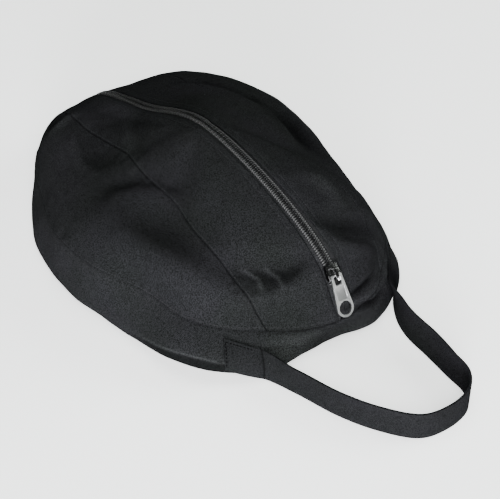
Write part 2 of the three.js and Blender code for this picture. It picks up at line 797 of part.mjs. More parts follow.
function slotOutline(width, from, to, radius) {
  return roundedOutline(
    [corner2(-width / 2, from), corner2(width / 2, from), corner2(width / 2, to), corner2(-width / 2, to)],
    radius,
  );
}
const slotFrom = -pullStart - pullSlotLength;
const pullSlot = slotOutline(pullSlotWidth, slotFrom, -pullStart, pullSlotCorner);
const windowTo = slotFrom - pullBar;
const windowFrom = windowTo - pullWindowLength;
const pullWindow = slotOutline(pullWindowWidth, windowFrom, windowTo, pullWindowCorner);
const hole = new THREE.Shape();
hole.absarc(0, tipMiddle, pullHole / 2, 0, 2 * Math.PI);
const pullHalf = pullThickness / 2;
const pull = solidOf(plate(pullOutline, -pullHalf, pullHalf))
  .subtract(solidOf(plate(pullSlot, -pullThickness, pullThickness)))
  .subtract(solidOf(plate(hole, -pullThickness, pullThickness)))
  .subtract(solidOf(plate(pullWindow, pullHalf - pullWindowDepth, pullThickness)))
  .subtract(solidOf(plate(pullWindow, -pullThickness, pullWindowDepth - pullHalf)));
const pullMesh = new THREE.Mesh(geometryOf(pull), pullMaterial);
pullMesh.name = "pull_tab";
pullGroup.add(pullMesh);

// The webbing's sewn stretches follow the band's outer face, with the band's own lean.
const up = new THREE.Vector3(0, 0, 1);
const heightsAcross = places(0, webbingWidth, webbingAcross);
const webbingStand = webbingStandOff + webbingThickness / 2;

function sewnLine(turn, lift) {
  return heightsAcross.map((share) => {
    const height = lift + share;
    return bandPoint(turn, height).addScaledVector(bandNormal(turn, height), webbingStand);
  });
}

function sewnStretch(turnAtLoop, sign) {
  const lines = [sewnLine(turnAtLoop, webbingRest)];
  const middleAt = (turn) => bandPoint(turn, webbingWidth / 2);
  let length = 0;
  let turn = turnAtLoop;
  while (lines.length <= webbingSewnSteps) {
    const next = turn + sign * sampleTurn;
    length += middleAt(next).distanceTo(middleAt(turn));
    turn = next;
    if (length >= (lines.length * webbingSewnLength) / webbingSewnSteps) {
      const lift = THREE.MathUtils.lerp(webbingRest, webbingLift, lines.length / webbingSewnSteps);
      lines.push(sewnLine(turn, lift));
    }
  }
  return lines;
}

// The free loop stands on its lower edge and meets each sewn stretch with the same lean and height.
const leftSewn = sewnStretch(webbingTurn, 1).reverse();
const rightSewn = sewnStretch(360 - webbingTurn, -1);
const loopStart = leftSewn.at(-1);
const loopEnd = rightSewn[0];
const frontEdge = (loopStart[0].y + loopEnd[0].y) / 2;
const ground = (point) => point.clone().setZ(0);
const loopKnots = LOOP.map(
  ({ across, out }) => new THREE.Vector3(across * loopSpan, frontEdge - out * loopReach, 0),
);
const route = new THREE.CatmullRomCurve3([
  ground(leftSewn.at(-3)[0]),
  ground(loopStart[0]),
  ...loopKnots,
  ground(loopEnd[0]),
  ground(rightSewn[2][0]),
]);
const knotShare = 1 / (LOOP.length + 3);
const routePoints = places(knotShare, 1 - knotShare, routeSamples).map((share) => route.getPoint(share));
const loopPoints = evenAlong(routePoints, webbingSteps);
const leanRows = LOOP.map(({ lean }, k) => ({ place: (k + 1) / (LOOP.length + 1), lean }));
const leanTable = [{ place: 0, lean: 0 }, ...leanRows, { place: 1, lean: 0 }];
const loopLines = loopPoints.slice(1, -1).map((base, k) => {
  const share = (k + 1) / webbingSteps;
  const along = loopPoints[k + 2].clone().sub(loopPoints[k]).normalize();
  const out = along.clone().cross(up);
  const free = up.clone().addScaledVector(out, readTable(leanTable, "place", "lean", share)).normalize();
  const nearStart = 1 - THREE.MathUtils.smoothstep(share, 0, webbingSettle);
  const nearEnd = THREE.MathUtils.smoothstep(share, 1 - webbingSettle, 1);
  return heightsAcross.map((height, n) => {
    const point = base.clone().addScaledVector(free, height);
    const sewnStart = base.clone().add(loopStart[n]).sub(ground(loopStart[0])).setZ(height);
    const sewnEnd = base.clone().add(loopEnd[n]).sub(ground(loopEnd[0])).setZ(height);
    point.lerp(sewnStart, nearStart).lerp(sewnEnd, nearEnd);
    point.z += webbingRest;
    return point;
  });
});
const webbingLines = [...leftSewn, ...loopLines, ...rightSewn];

// A ribbon's two faces, half a thickness to each side of a grid of points.
function ribbonGeometry(lines, thickness) {
  const shifted = (sign) =>
    lines.map((line, row) =>
      line.map((point, column) => {
        const before = lines[Math.max(row - 1, 0)][column];
        const after = lines[Math.min(row + 1, lines.length - 1)][column];
        const low = line[Math.max(column - 1, 0)];
        const high = line[Math.min(column + 1, line.length - 1)];
        const normal = after.clone().sub(before).cross(high.clone().sub(low)).normalize();
        return point.clone().addScaledVector(normal, (sign * thickness) / 2);
      }),
    );
  return wallBetween(shifted(1), shifted(-1));
}
addMesh("handle_strap", ribbonGeometry(webbingLines, webbingThickness), webbingMaterial);

export default bag;
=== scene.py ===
# %% [markdown]
# # A soft bag for a riding helmet
# The bag is black cotton twill. Two centre panels with a long zip between them, two side panels and
# a low band make one soft shell that has sagged on its own. A loop of webbing lies in front of it.
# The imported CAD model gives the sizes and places, and this script gives the cloth its look.

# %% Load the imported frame
import math
import bpy
import numpy as np
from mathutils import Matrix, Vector


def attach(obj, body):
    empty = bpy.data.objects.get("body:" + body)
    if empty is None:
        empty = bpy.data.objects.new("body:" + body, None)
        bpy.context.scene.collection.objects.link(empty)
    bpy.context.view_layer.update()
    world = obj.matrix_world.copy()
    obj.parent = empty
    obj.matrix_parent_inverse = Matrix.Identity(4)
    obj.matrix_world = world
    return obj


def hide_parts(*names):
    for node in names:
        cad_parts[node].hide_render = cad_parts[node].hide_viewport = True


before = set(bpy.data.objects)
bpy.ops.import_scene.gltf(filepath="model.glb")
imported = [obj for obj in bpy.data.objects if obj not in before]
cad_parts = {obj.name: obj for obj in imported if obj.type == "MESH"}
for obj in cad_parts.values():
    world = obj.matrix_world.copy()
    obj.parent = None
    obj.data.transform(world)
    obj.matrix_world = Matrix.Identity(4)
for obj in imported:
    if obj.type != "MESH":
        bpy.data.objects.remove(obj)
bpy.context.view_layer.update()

# %% [markdown]
# ## Camera
# The camera comes first. It stands in front and to the left, 39 degrees above the floor and 1.1 m
# away, with a long lens, so that the bag keeps its proportions.
# It could be turned by typed angles, but a point that it looks at is easier to read and to change.


# %% Camera
def turn_towards(thing, aim):
    """Turns a camera or a light so that it looks at a point."""
    direction = Vector(aim) - thing.location
    thing.rotation_euler = direction.to_track_quat("-Z", "Y").to_euler()


bpy.ops.object.camera_add(location=(-0.5263, -0.734, 0.71115))
camera = bpy.context.object
camera.name = "camera"
camera.data.sensor_width = 36
camera.data.lens = 91.08
camera.data.clip_start = 0.05
turn_towards(camera, (0, -0.0604, 0.0189))
bpy.context.scene.camera = camera
print("camera", [round(a, 3) for a in camera.location])

# %% [markdown]
# ## Floor and lights
# Black cloth returns so little light that its folds only show where one side of a fold gets more
# light than the other. One lamp from the front would flatten them. Five large soft lights are used:
# a strong one low in front and to the left, one above it that fills the shade behind the loop, and
# weaker ones from the left, the right and the top. The floor glows a little, so that it stays pale.


# %% Helpers for materials
def feed(look, node, inputs):
    """Gives a node its inputs, each of them a fixed value or the output of another node."""
    for socket, value in inputs.items():
        if isinstance(value, bpy.types.NodeSocket):
            look.node_tree.links.new(value, node.inputs[socket])
        else:
            node.inputs[socket].default_value = value


def new_look(name, inputs):
    """A new material and its main shader."""
    look = bpy.data.materials.new(name)
    look.use_nodes = True
    shader = look.node_tree.nodes["Principled BSDF"]
    feed(look, shader, inputs)
    return look, shader


floor_look, _ = new_look("pale_floor", {
    "Base Color": (0.9, 0.9, 0.9, 1), "Roughness": 0.9,
    "Emission Color": (1, 1, 1, 1), "Emission Strength": 1,
})
print("look", floor_look.name)

# %% Floor and surroundings
bpy.ops.object.select_all(action="DESELECT")
bpy.ops.mesh.primitive_plane_add(size=60, location=(0, 0, -0.0004))
floor = bpy.context.object
floor.name = "floor"
floor.data.materials.append(floor_look)

world = bpy.data.worlds.new("studio")
bpy.context.scene.world = world
world.use_nodes = True
background = world.node_tree.nodes["Background"]
background.inputs["Color"].default_value = (0.93, 1.04, 0.98, 1)
background.inputs["Strength"].default_value = 0.03
print("floor", floor.name, "and world", world.name)

# %% Lights
LIGHTS = [
    # name, place, side in metres, watts, colour
    ("key_light", (-1.5, -1.95, 0.37), 0.7, 172, (0.98, 0.99, 1.02)),
    ("high_light", (-1.05, -1.5, 1.5), 1.0, 60, (0.98, 1, 1)),
    ("left_light", (-2.2, -0.9, 0.37), 0.7, 30, (0.98, 0.99, 1.02)),
    ("right_light", (1.9, -0.9, 1.1), 1.4, 58, (0.97, 1.02, 0.98)),
    ("top_light", (0, 0.2, 2.4), 1.6, 38, (0.97, 1.03, 0.98)),
]
for name, place, size, power, colour in LIGHTS:
    bpy.ops.object.light_add(type="AREA", location=place)
    light = bpy.context.object
    light.name = name
    light.data.size = size
    light.data.energy = power
    light.data.color = colour
    turn_towards(light, (0, 0, 0.05))
    print(name, power, "W")

# %% [markdown]
# ## The shape of the shell
# A sagged bag has no straight side to measure from. It could be sculpted, but a sculpted form can't
# be read or compared. So it is kept as a table: for each direction from the crown, how far out the
# band begins and ends, and how high the cloth stands on the way. A smooth curve through the rows
# gives any place on the cloth. The table is the CAD model's. The slump at the front left, the
# drawn-in front right corner and the exact places of the large dents were found later, against the
# photograph, and belong to this script.

# %% Tables of the shell
BAG_LENGTH, BAG_WIDTH, BAG_HEIGHT = 0.372, 0.292, 0.118
# A direction is in degrees from the front towards the left. The rest are shares: how far out the
# band's seam and foot lie, and how high its seam, the shoulder, the flank and its lower fold are.
WALL_COLUMNS = ("turn", "reach", "foot", "seam", "shoulder", "flank", "fold")
WALL = np.array([
    (0, 0.985, 0.965, 0.205, 0.585, 0.87, 0.05),
    (14, 0.96, 0.98, 0.21, 0.585, 0.86, 0.05),
    (27, 0.955, 1.07, 0.25, 0.57, 0.85, 0.06),
    (36, 0.965, 1.09, 0.29, 0.56, 0.83, 0.08),
    (48, 0.945, 1.09, 0.34, 0.55, 0.81, 0.09),
    (62, 0.915, 1.03, 0.39, 0.56, 0.78, 0.07),
    (80, 0.96, 0.99, 0.42, 0.565, 0.76, 0.06),
    (100, 0.97, 1.015, 0.41, 0.57, 0.74, 0.05),
    (122, 0.935, 1.005, 0.36, 0.59, 0.715, 0.05),
    (145, 1.02, 1.025, 0.32, 0.635, 0.72, 0.05),
    (168, 1.01, 1, 0.375, 0.595, 0.74, 0.05),
    (190, 1.01, 0.985, 0.405, 0.58, 0.77, 0.05),
    (212, 1.02, 0.98, 0.42, 0.65, 0.825, 0.05),
    (235, 1.035, 0.98, 0.425, 0.625, 0.815, 0.05),
    (258, 0.96, 0.97, 0.41, 0.565, 0.75, 0.05),
    (280, 0.86, 0.94, 0.36, 0.44, 0.71, 0.05),
    (298, 0.86, 0.95, 0.33, 0.475, 0.76, 0.05),
    (314, 0.925, 0.99, 0.32, 0.55, 0.83, 0.05),
    (328, 0.98, 1.055, 0.275, 0.59, 0.85, 0.05),
    (345, 0.985, 1.025, 0.22, 0.585, 0.87, 0.05),
])
# Steps out from the crown to the flank, the shoulder and the seam, and their shares of the reach.
RING_STEPS = np.array([0, 0.42, 0.77, 1])
RING_REACH = np.array([0, 0.5, 0.88, 1])
FOLDS = [
    # place across and along, heading in degrees, and length, width and height, all as shares
    (-0.54, -0.27, 101, 0.13, 0.05, -0.045),
    (-0.75, -0.38, 104, 0.16, 0.05, 0.022),
    (-0.3, -0.76, -29, 0.075, 0.032, -0.05),
    (0.25, -0.79, -14, 0.075, 0.025, -0.035),
    (0.71, 0.14, 90, 0.12, 0.045, -0.04),
    (-0.47, 0.42, 70, 0.08, 0.04, -0.03),
    (-0.2, 0.5, 95, 0.12, 0.035, -0.01),
]
# The stiff zip holds the cloth flat for about this far on each side.
ZIP_HOLD = 0.022
# The slump at the front left: its direction and spread in degrees, how far its fold is raised, the
# share by which the wall stands out, and how far the foot is tucked under.
SLUMP_TURN, SLUMP_SPREAD, SLUMP_RAISE, SLUMP_OUT, SLUMP_TUCK = 49, 13, 0.014, 0.05, 0.008
# The front right corner, which the loop draws in: direction and spread in degrees, and share.
CORNER_TURN, CORNER_SPREAD, CORNER_IN = 331, 9, 0.028
print(len(WALL), "directions,", len(FOLDS), "large folds")


# %% Curves through the tables
def smooth_between(start, leaving, end, arriving, span, t):
    """A smooth curve from start to end, with its slopes at both, at the share t of the span."""
    return (
        start * (2 * t**3 - 3 * t**2 + 1)
        + leaving * span * (t**3 - 2 * t**2 + t)
        + end * (3 * t**2 - 2 * t**3)
        + arriving * span * (t**3 - t**2)
    )


def read_curve(keys, values, at):
    """A smooth curve through values at rising keys."""
    keys, values, at = np.array(keys, float), np.array(values, float), np.array(at, float)
    slopes = np.empty(len(keys))
    slopes[1:-1] = (values[2:] - values[:-2]) / (keys[2:] - keys[:-2])
    slopes[0] = (values[1] - values[0]) / (keys[1] - keys[0])
    slopes[-1] = (values[-1] - values[-2]) / (keys[-1] - keys[-2])
    row = np.clip(np.searchsorted(keys, at, side="right") - 1, 0, len(keys) - 2)
    span = keys[row + 1] - keys[row]
    t = (at - keys[row]) / span
    return smooth_between(values[row], slopes[row], values[row + 1], slopes[row + 1], span, t)


def wall_at(column, turn):
    """A column of the wall's table in a direction, in degrees from the front towards the left."""
    keys = WALL[:, 0]
    values = WALL[:, WALL_COLUMNS.index(column)]
    wide_keys = np.concatenate([keys[-3:] - 360, keys, keys[:3] + 360])
    wide_values = np.concatenate([values[-3:], values, values[:3]])
    return read_curve(wide_keys, wide_values, np.mod(turn, 360))


print("the wall's reach in front and at the left", wall_at("reach", np.array([0, 90])).round(3))


# %% The slump and the drawn-in corner
def bell(distance, width):
    """A soft bump: 1 in the middle, and almost nothing past twice its width."""
    return np.exp(-((distance / width) ** 2))


def slump(turn):
    """The share by which the front left of the band has slumped out over its own foot."""
    return bell(np.mod(turn, 360) - SLUMP_TURN, SLUMP_SPREAD)


def moved_out(turn):
    """How far the slump and the drawn-in corner move the wall, as a share of its reach."""
    return SLUMP_OUT * slump(turn) - CORNER_IN * bell(np.mod(turn, 360) - CORNER_TURN, CORNER_SPREAD)


def reach_at(turn):
    return wall_at("reach", turn) + moved_out(turn)


def foot_at(turn):
    return wall_at("foot", turn) + moved_out(turn)


print("share of the slump at 30 degrees", round(float(slump(30)), 2))


# %% Heights from the crown to the seam
def height_share(turn, step):
    """The shell's height, as a share of the bag's, at a step out from the crown."""
    rings = [wall_at(name, turn) for name in ("flank", "shoulder", "seam")]
    heights = np.stack([np.ones_like(turn, float)] + rings)
    slopes = np.zeros_like(heights)
    for k in (1, 2, 3):
        after = min(k + 1, 3)
        slopes[k] = (heights[after] - heights[k - 1]) / (RING_STEPS[after] - RING_STEPS[k - 1])
    row = np.clip(np.searchsorted(RING_STEPS, step, side="right") - 1, 0, 2)
    pick = lambda table, k: np.take_along_axis(table, k[None], 0)[0]
    span = RING_STEPS[row + 1] - RING_STEPS[row]
    t = (step - RING_STEPS[row]) / span
    return smooth_between(
        pick(heights, row), pick(slopes, row), pick(heights, row + 1), pick(slopes, row + 1), span, t
    )


front_shoulder = height_share(np.zeros(1), RING_STEPS[2:3])[0] * BAG_HEIGHT
print("height of the shoulder in front, mm", round(1000 * front_shoulder, 1))


# %% Plan and large folds
def plan_point(turn, reach, height):
    """Points over the plan from a direction, a share of the way out and a height in metres."""
    angle = np.radians(turn)
    x = -np.sin(angle) * reach * BAG_WIDTH / 2
    y = -np.cos(angle) * reach * BAG_LENGTH / 2
    return np.stack([x, y, height + 0 * x], -1)


def fold_lift(x, y):
    """How far the large dents and folds lift the cloth, which the zip holds flat."""
    lift = 0
    for across, along, heading, long, wide, depth in FOLDS:
        turn = math.radians(heading)
        dx, dy = x - across * BAG_WIDTH / 2, y - along * BAG_LENGTH / 2
        a = (dx * math.cos(turn) + dy * math.sin(turn)) / (long * BAG_LENGTH)
        b = (dy * math.cos(turn) - dx * math.sin(turn)) / (wide * BAG_LENGTH)
        lift = lift + depth * BAG_HEIGHT * np.exp(-a * a - b * b)
    return lift * (1 - bell(x, ZIP_HOLD))


left_dent = fold_lift(FOLDS[0][0] * BAG_WIDTH / 2, FOLDS[0][1] * BAG_LENGTH / 2)
print("large dent on the left, mm", round(1000 * left_dent, 1))


# %% Points on the shell
def shell_at(turn, step):
    """Points on the shell by direction and step out from the crown."""
    reach = read_curve(RING_STEPS, RING_REACH, step) * reach_at(turn)
    points = plan_point(turn, reach, height_share(turn, step) * BAG_HEIGHT)
    points[..., 2] += fold_lift(points[..., 0], points[..., 1]) * (1 - step**6)
    return points


def disc_place(u, v):
    """Direction and step of a place on the cloth, u from left to right and v from front to back."""
    x = u * np.sqrt(1 - v * v / 2)
    y = v * np.sqrt(1 - u * u / 2)
    return np.mod(np.degrees(np.arctan2(-x, -y)), 360), np.minimum(np.hypot(x, y), 1)


def shell(u, v):
    """Points on the shell by place on the cloth."""
    return shell_at(*disc_place(np.clip(u, -1, 1), np.clip(v, -1, 1)))


crown = shell(np.array([0.0]), np.array([0.0]))[0]
print("crown height, mm", round(1000 * crown[2], 1))

# %% Directions and lengths on the shell
# A short step on the cloth, to see which way it runs.
STEP = 0.004


def unit(vectors):
    return vectors / np.maximum(np.linalg.norm(vectors, axis=-1, keepdims=True), 1e-12)


def shell_normal(u, v):
    """The direction that the cloth faces."""
    a = shell(np.minimum(u + STEP, 1), v) - shell(np.maximum(u - STEP, -1), v)
    b = shell(u, np.minimum(v + STEP, 1)) - shell(u, np.maximum(v - STEP, -1))
    return unit(np.cross(a, b))


def span_across(u, v):
    """Metres of cloth for one unit of u."""
    low, high = np.maximum(u - STEP, -1), np.minimum(u + STEP, 1)
    return np.linalg.norm(shell(high, v) - shell(low, v), axis=-1) / (high - low)


def lengths_along(points):
    """The length of a row of points up to each of them."""
    return np.concatenate([[0], np.cumsum(np.linalg.norm(np.diff(points, axis=0), axis=-1))])


centre_line = shell(np.zeros(201), np.linspace(-1, 1, 201))
print("cloth from front to back, mm", round(1000 * lengths_along(centre_line)[-1]))

# %% [markdown]
# ## Swells, puckers and seams
# Cloth is never as even as a table. Besides its large dents the twill has slow swells, and where a
# row of stitches holds it shorter than it wants to be it draws up into small puckers. A displacement
# texture could make them. Here each is a height above the smooth shell, worked out in code, so that
# they add up, stop where the zip is stiff, and agree on both sides of a seam.

# %% Swells
rng = np.random.default_rng(7)
SWELLS = [
    # wave length and height in metres, heading and phase, of waves that run in many directions
    (length, height, rng.uniform(0, math.tau), rng.uniform(0, math.tau))
    for length, height, count in ((0.1, 0.0003, 5), (0.047, 0.00014, 8), (0.019, 0.00004, 8))
    for _ in range(count)
]


def swell(points):
    """Slow uneven swells of the cloth over the plan."""
    height = 0
    for length, tall, heading, phase in SWELLS:
        along = points[..., 0] * math.cos(heading) + points[..., 1] * math.sin(heading)
        height = height + tall * np.sin(math.tau * (along + 0.4 * points[..., 2]) / length + phase)
    return height


print("swell at the crown, mm", round(1000 * swell(crown), 3))

# %% Puckers and grooves
# Puckers of each seam: their spacing, their height, and how far from the seam they reach.
PANEL_PUCKERS, BAND_PUCKERS = (0.011, 0.0004, 0.007), (0.012, 0.0004, 0.009)
ZIP_PUCKERS = (0.013, 0.0002, 0.008)
# Depth and width of the grooves at the panel seam, the zip's edge and its row of stitches.
PANEL_GROOVE, ZIP_GROOVE, STITCH_GROOVE = (0.0007, 0.0009), (0.0008, 0.0009), (0.0003, 0.0008)
BAND_GROOVE_WIDTH = 0.0011
# Metres of band in one radian, about, and the width of the stitched strip that has no puckers.
BAND_RADIUS, STITCHED_STRIP = 0.16, 0.0012


def puckers(distance, along, spacing, height, reach):
    """Small waves across a seam, by the distance from it and the place along it."""
    wander = np.sin(along / (spacing * 3.7)) + np.sin(along / (spacing * 1.9) + 2)
    wave = np.sin(math.tau * along / spacing + 2.2 * wander)
    strength = 0.55 + 0.45 * np.sin(along / (spacing * 2.9) + 1)
    away = np.exp(-distance / reach) * (1 - np.exp(-distance / STITCHED_STRIP))
    return height * strength * wave * away


def groove(distance, depth, width):
    return -depth * bell(distance, width)


def seam_depth(turn):
    """The band's seam is drawn in 0.4 mm all round, and 1.2 mm more at the front."""
    return 0.0004 + 0.0012 * bell(np.mod(turn + 180, 360) - 180, 26)


def seam_draw(v):
    """How hard the panel seam is drawn in: less than half as much over the middle of the bag."""
    return 1 - 0.6 * bell(v + 0.05, 0.4)


print("seam depth in front, mm", round(1000 * seam_depth(0), 2))

# %% Lines of the seams
PANEL_SEAM = np.array([
    # along the bag, across it
    (-1, 0.61), (-0.66, 0.475), (-0.33, 0.415), (0, 0.375), (0.36, 0.32), (0.65, 0.355), (1, 0.4),
])
OPENING = {
    # along the bag and half width of the slot in the cloth, for the left and right sides
    -1: np.array([(-1, 0.003), (-0.9, 0.0062), (-0.78, 0.0076), (-0.4, 0.0062), (1, 0.0058)]),
    1: np.array([(-1, 0.003), (-0.9, 0.0062), (-0.78, 0.0096), (-0.4, 0.0072), (1, 0.0062)]),
}
TOPSTITCH = 0.0062


def seam_u(v):
    return read_curve(PANEL_SEAM[:, 0], PANEL_SEAM[:, 1], v)


def opening_at(side, v):
    """Half width of the slot in the cloth over the zip, on one side."""
    return read_curve(OPENING[side][:, 0], OPENING[side][:, 1], v)


print("slot at the middle, mm", [round(1000 * float(opening_at(side, 0)), 1) for side in (-1, 1)])

# %% [markdown]
# ## Creases
# An empty bag keeps the creases of its last packing. A sculptor would draw them with a brush. Here
# each is a line over the cloth, with a width on its upper and its lower side, a height, and a tone,
# because a line in a table can be measured and moved. The tone is painted shade below 1 and painted
# light above 1: painted shade in deep folds and hollows, painted highlights on ridges, and painted
# light where the loop shades the band and on the band's curled foot in front. They were placed one
# by one against the photograph. A height of 0 paints the shade or light alone.

# %% Table of creases
CREASES = [
    # name, width above the line, width below it, height, tone (painted shade below 1, painted light
    # above 1), and the line, in millimetres
    ("valley over the terrace", 13, 10, -3.0, 0.88,
     [(-98, 18, 77), (-84, 20, 81), (-69, 8, 87), (-56, -18, 93), (-50, -40, 96)]),
    ("rim of the valley", 6, 14, 1.6, 0.92,
     [(-110, 2, 74), (-90, 8, 80), (-73, -5, 86), (-62, -28, 90)]),
    ("pinch in the valley", 5, 5, -1, 0.85,
     [(-60, -18, 92), (-54, -36, 94)]),
    ("crest of the terrace", 13, 16, 5.0, 1.12,
     [(-114, -14, 73), (-108, -50, 71), (-102, -77, 68), (-93, -108, 65), (-82, -131, 60)]),
    ("hollow of the terrace", 14, 12, -2.2, 0.86,
     [(-88, -40, 77), (-82, -67, 77), (-78, -95, 76), (-74, -116, 72), (-68, -132, 67)]),
    ("shade over the terrace", 17, 11, 0, 0.86,
     [(-96, 2, 76), (-86, -34, 78), (-78, -71, 79), (-78, -109, 74)]),
    ("valley of the front dent", 13, 8, -5.6, 0.95,
     [(-66, -120, 72), (-50, -134, 70), (-30, -145, 71), (-17, -149, 74)]),
    ("face of the front dent", 8, 7, 0, 0.78,
     [(-70, -124, 67), (-58, -136, 65), (-46, -144, 64), (-30, -150, 68), (-18, -153, 71)]),
    ("rim of the front dent", 6, 10, 6.0, 1.08,
     [(-76, -136, 56), (-56, -150, 55), (-31, -158, 61), (-20, -156, 68)]),
    ("crease in the front dent", 2, 2, 2.2, 2.2,
     [(-58, -128, 71), (-52, -138, 66), (-56, -147, 60)]),
    ("crease in the front dent", 2, 2, 2.0, 2.2,
     [(-44, -136, 71), (-39, -146, 66), (-41, -153, 60)]),
    ("valley right of the zip", 11, 8, -5.2, 0.6,
     [(10, -126, 89), (35, -138, 78), (80, -142, 52)]),
    ("rim right of the zip", 7, 8, 4.2, 1,
     [(12, -148, 77), (32, -158, 66), (65, -157, 46)]),
    ("ridge right of the zip", 10, 10, 4.0, 1.3,
     [(33, -85, 100), (47, -95, 93), (49, -109, 89), (48, -126, 83)]),
    ("fold at the front corner", 3, 3, -3.4, 0.25,
     [(10, -177, 39), (25, -175, 39), (47, -168, 39)]),
    ("fold at the front corner", 2.6, 3, 3.2, 1.45,
     [(13, -179, 33), (34, -177, 31), (58, -168, 30)]),
    ("fold at the front corner", 2.8, 2.8, -3.6, 0.25,
     [(16, -181, 27), (37, -180, 21), (56, -174, 22)]),
    ("hollow on the right", 14, 14, -6.0, 0.3,
     [(104, 36, 72), (110, 8, 58), (113, -14, 50)]),
    ("edge of the right hollow", 5, 6, 2.4, 1,
     [(96, 50, 78), (98, 24, 73), (94, 0, 69)]),
    ("dent on the right", 6, 7, -2.5, 0.5,
     [(84, 58, 86), (96, 44, 78)]),
    ("dent at the back right", 5, 9, -5.0, 0.5,
     [(52, 110, 91), (72, 86, 90), (84, 62, 87)]),
    ("dent at the back left", 13, 13, -3.4, 0.93,
     [(-46, 118, 77), (-58, 100, 78), (-68, 82, 78)]),
    ("rim of the back left dent", 5, 8, 3.0, 1.12,
     [(-62, 118, 78), (-74, 99, 77), (-84, 73, 74), (-85, 47, 77)]),
    ("corner at the back left", 4, 5, 3.0, 1.2,
     [(-49, 138, 78), (-66, 130, 79), (-80, 128, 76)]),
    ("facet at the back left", 6, 6, -1.5, 0.5,
     [(-62, 142, 74), (-80, 134, 71)]),
    ("short fold under the zip", 6, 7, 2.4, 1.3,
     [(-20, 98, 84), (-38, 66, 87), (-52, 44, 87)]),
    ("cloth drawn up beside the zip", 6, 6, 1.6, 1.3,
     [(-16, 156, 75), (-15, 118, 82), (-13, 80, 95), (-11, 40, 109)]),
    ("hollow under the zip", 3, 6, -0.7, 0.9,
     [(-32, 136, 76), (-26, 100, 83), (-22, 64, 97), (-18, 34, 110)]),
    ("dimple at the corner", 7, 7, -2, 0.85,
     [(-142, 10, 56), (-136, 24, 62)]),
    ("swell over the band seam", 3, 6, 1.6, 1.6,
     [(-58, -166, 24), (-37, -175, 20), (-14, -183, 20)]),
    ("fold from the seam corner", 1.8, 1.8, -0.8, 0.8,
     [(-60, -165, 22), (-50, -173, 16), (-42, -178, 12)]),
    ("long low fold", 6, 6, 0.8, 1.05,
     [(-134, -50, 50), (-124, -90, 46), (-106, -124, 42)]),
    ("shaded cloth in front of the slider", 15, 15, 0, 0.72,
     [(22, -160, 66), (36, -164, 54), (56, -160, 42)]),
    # painted light where the loop's shadow falls on the band
    ("band behind the loop", 7, 9, 0, 2.2,
     [(-66, -169, 18), (-54, -175, 15), (-34, -180, 12)]),
    # painted light on the band's curled foot in front, which faces down into shade
    ("foot of the band in front", 8, 8, 0, 1.6,
     [(-56, -176, 6), (-24, -184, 5), (16, -185, 4), (58, -172, 4)]),
    ("cloth over the sewn end", 8, 8, 0.8, 1.1,
     [(-104, -138, 40), (-84, -156, 34), (-66, -164, 30)]),
]
print(len(CREASES), "creases")

# %% Creases on the cloth
# A crease changes from its lower width to its upper one within a small height. Its strength along
# its line is most of one half of a wave, and this share of the wave is left out at both ends.
LEVEL_BLEND, CREASE_ENDS = 0.002, 0.12


def creases(points):
    """How far the creases lift the cloth, and their painted shade and light, from its distance to
    each line.
    """
    lift, shade = 0, 1
    for _, above, below, height, tone, line in CREASES:
        line = np.array(line, float) / 1000
        nearest = np.full(points.shape[:-1], 9.0)
        place, level = 0 * points[..., 0], 0 * points[..., 0]
        for k in range(len(line) - 1):
            edge = line[k + 1] - line[k]
            t = np.clip((points - line[k]) @ edge / (edge @ edge), 0, 1)
            foot = line[k] + t[..., None] * edge
            distance = np.linalg.norm(points - foot, axis=-1)
            closer = distance < nearest
            nearest = np.where(closer, distance, nearest)
            place = np.where(closer, (k + t) / (len(line) - 1), place)
            level = np.where(closer, points[..., 2] - foot[..., 2], level)
        side = 0.5 + 0.5 * np.tanh(level / LEVEL_BLEND)
        width = (below + (above - below) * side) / 1000
        along = CREASE_ENDS + (1 - 2 * CREASE_ENDS) * place
        share = bell(nearest, width) * np.sin(np.pi * along)
        lift = lift + height / 1000 * share
        # the tone paints shade or light into the cloth along the crease
        shade = shade * (1 + (tone - 1) * share)
    return lift, shade


left_line = shell(np.linspace(-1, 0, 90), np.zeros(90))
crease_heights = 1000 * creases(left_line)[0]
print("creases left of the crown, mm", crease_heights.min().round(1), crease_heights.max().round(1))

# %% Relief
# The zip calms the cloth beside it, and the puckers of the two sides are shifted along the bag, so
# that they aren't each other's mirror.
ZIP_CALM, PANEL_SHIFT, ZIP_SHIFT = 0.004, 0.02, 0.05


def relief(u, v):
    """The height of the cloth's small relief above the smooth shell, in metres."""
    turn, step = disc_place(u, v)
    points = shell_at(turn, step)
    to_band = np.linalg.norm(points - shell_at(turn, np.ones_like(step)), axis=-1)
    side = np.where(u < 0, -1.0, 1.0)
    to_seam = np.abs(np.abs(u) - seam_u(v)) * span_across(side * seam_u(v), v)
    opening = np.where(u < 0, opening_at(-1, v), opening_at(1, v))
    to_zip = np.maximum(np.abs(u) * span_across(0 * u, v) - opening, 0)
    along = v * BAG_LENGTH / 2
    height = (swell(points) + creases(points)[0]) * (1 - np.exp(-to_zip / ZIP_CALM))
    height += puckers(to_seam, along + PANEL_SHIFT * side, *PANEL_PUCKERS)
    height += puckers(to_band, np.radians(turn) * BAND_RADIUS, *BAND_PUCKERS)
    height += puckers(to_zip, along + ZIP_SHIFT * side, *ZIP_PUCKERS)
    height += groove(to_seam, PANEL_GROOVE[0] * seam_draw(v), PANEL_GROOVE[1])
    height += groove(to_band, seam_depth(turn), BAND_GROOVE_WIDTH)
    height += groove(to_zip, *ZIP_GROOVE) + groove(to_zip - TOPSTITCH, *STITCH_GROOVE)
    return height


def cloth_place(u, v):
    """Points on the finished outer face of the cloth."""
    return shell(u, v) + relief(u, v)[..., None] * shell_normal(u, v)


sample = 1000 * relief(np.linspace(-0.9, 0.9, 90), np.zeros(90))
print("relief across the middle, mm", sample.min().round(2), "to", sample.max().round(2))

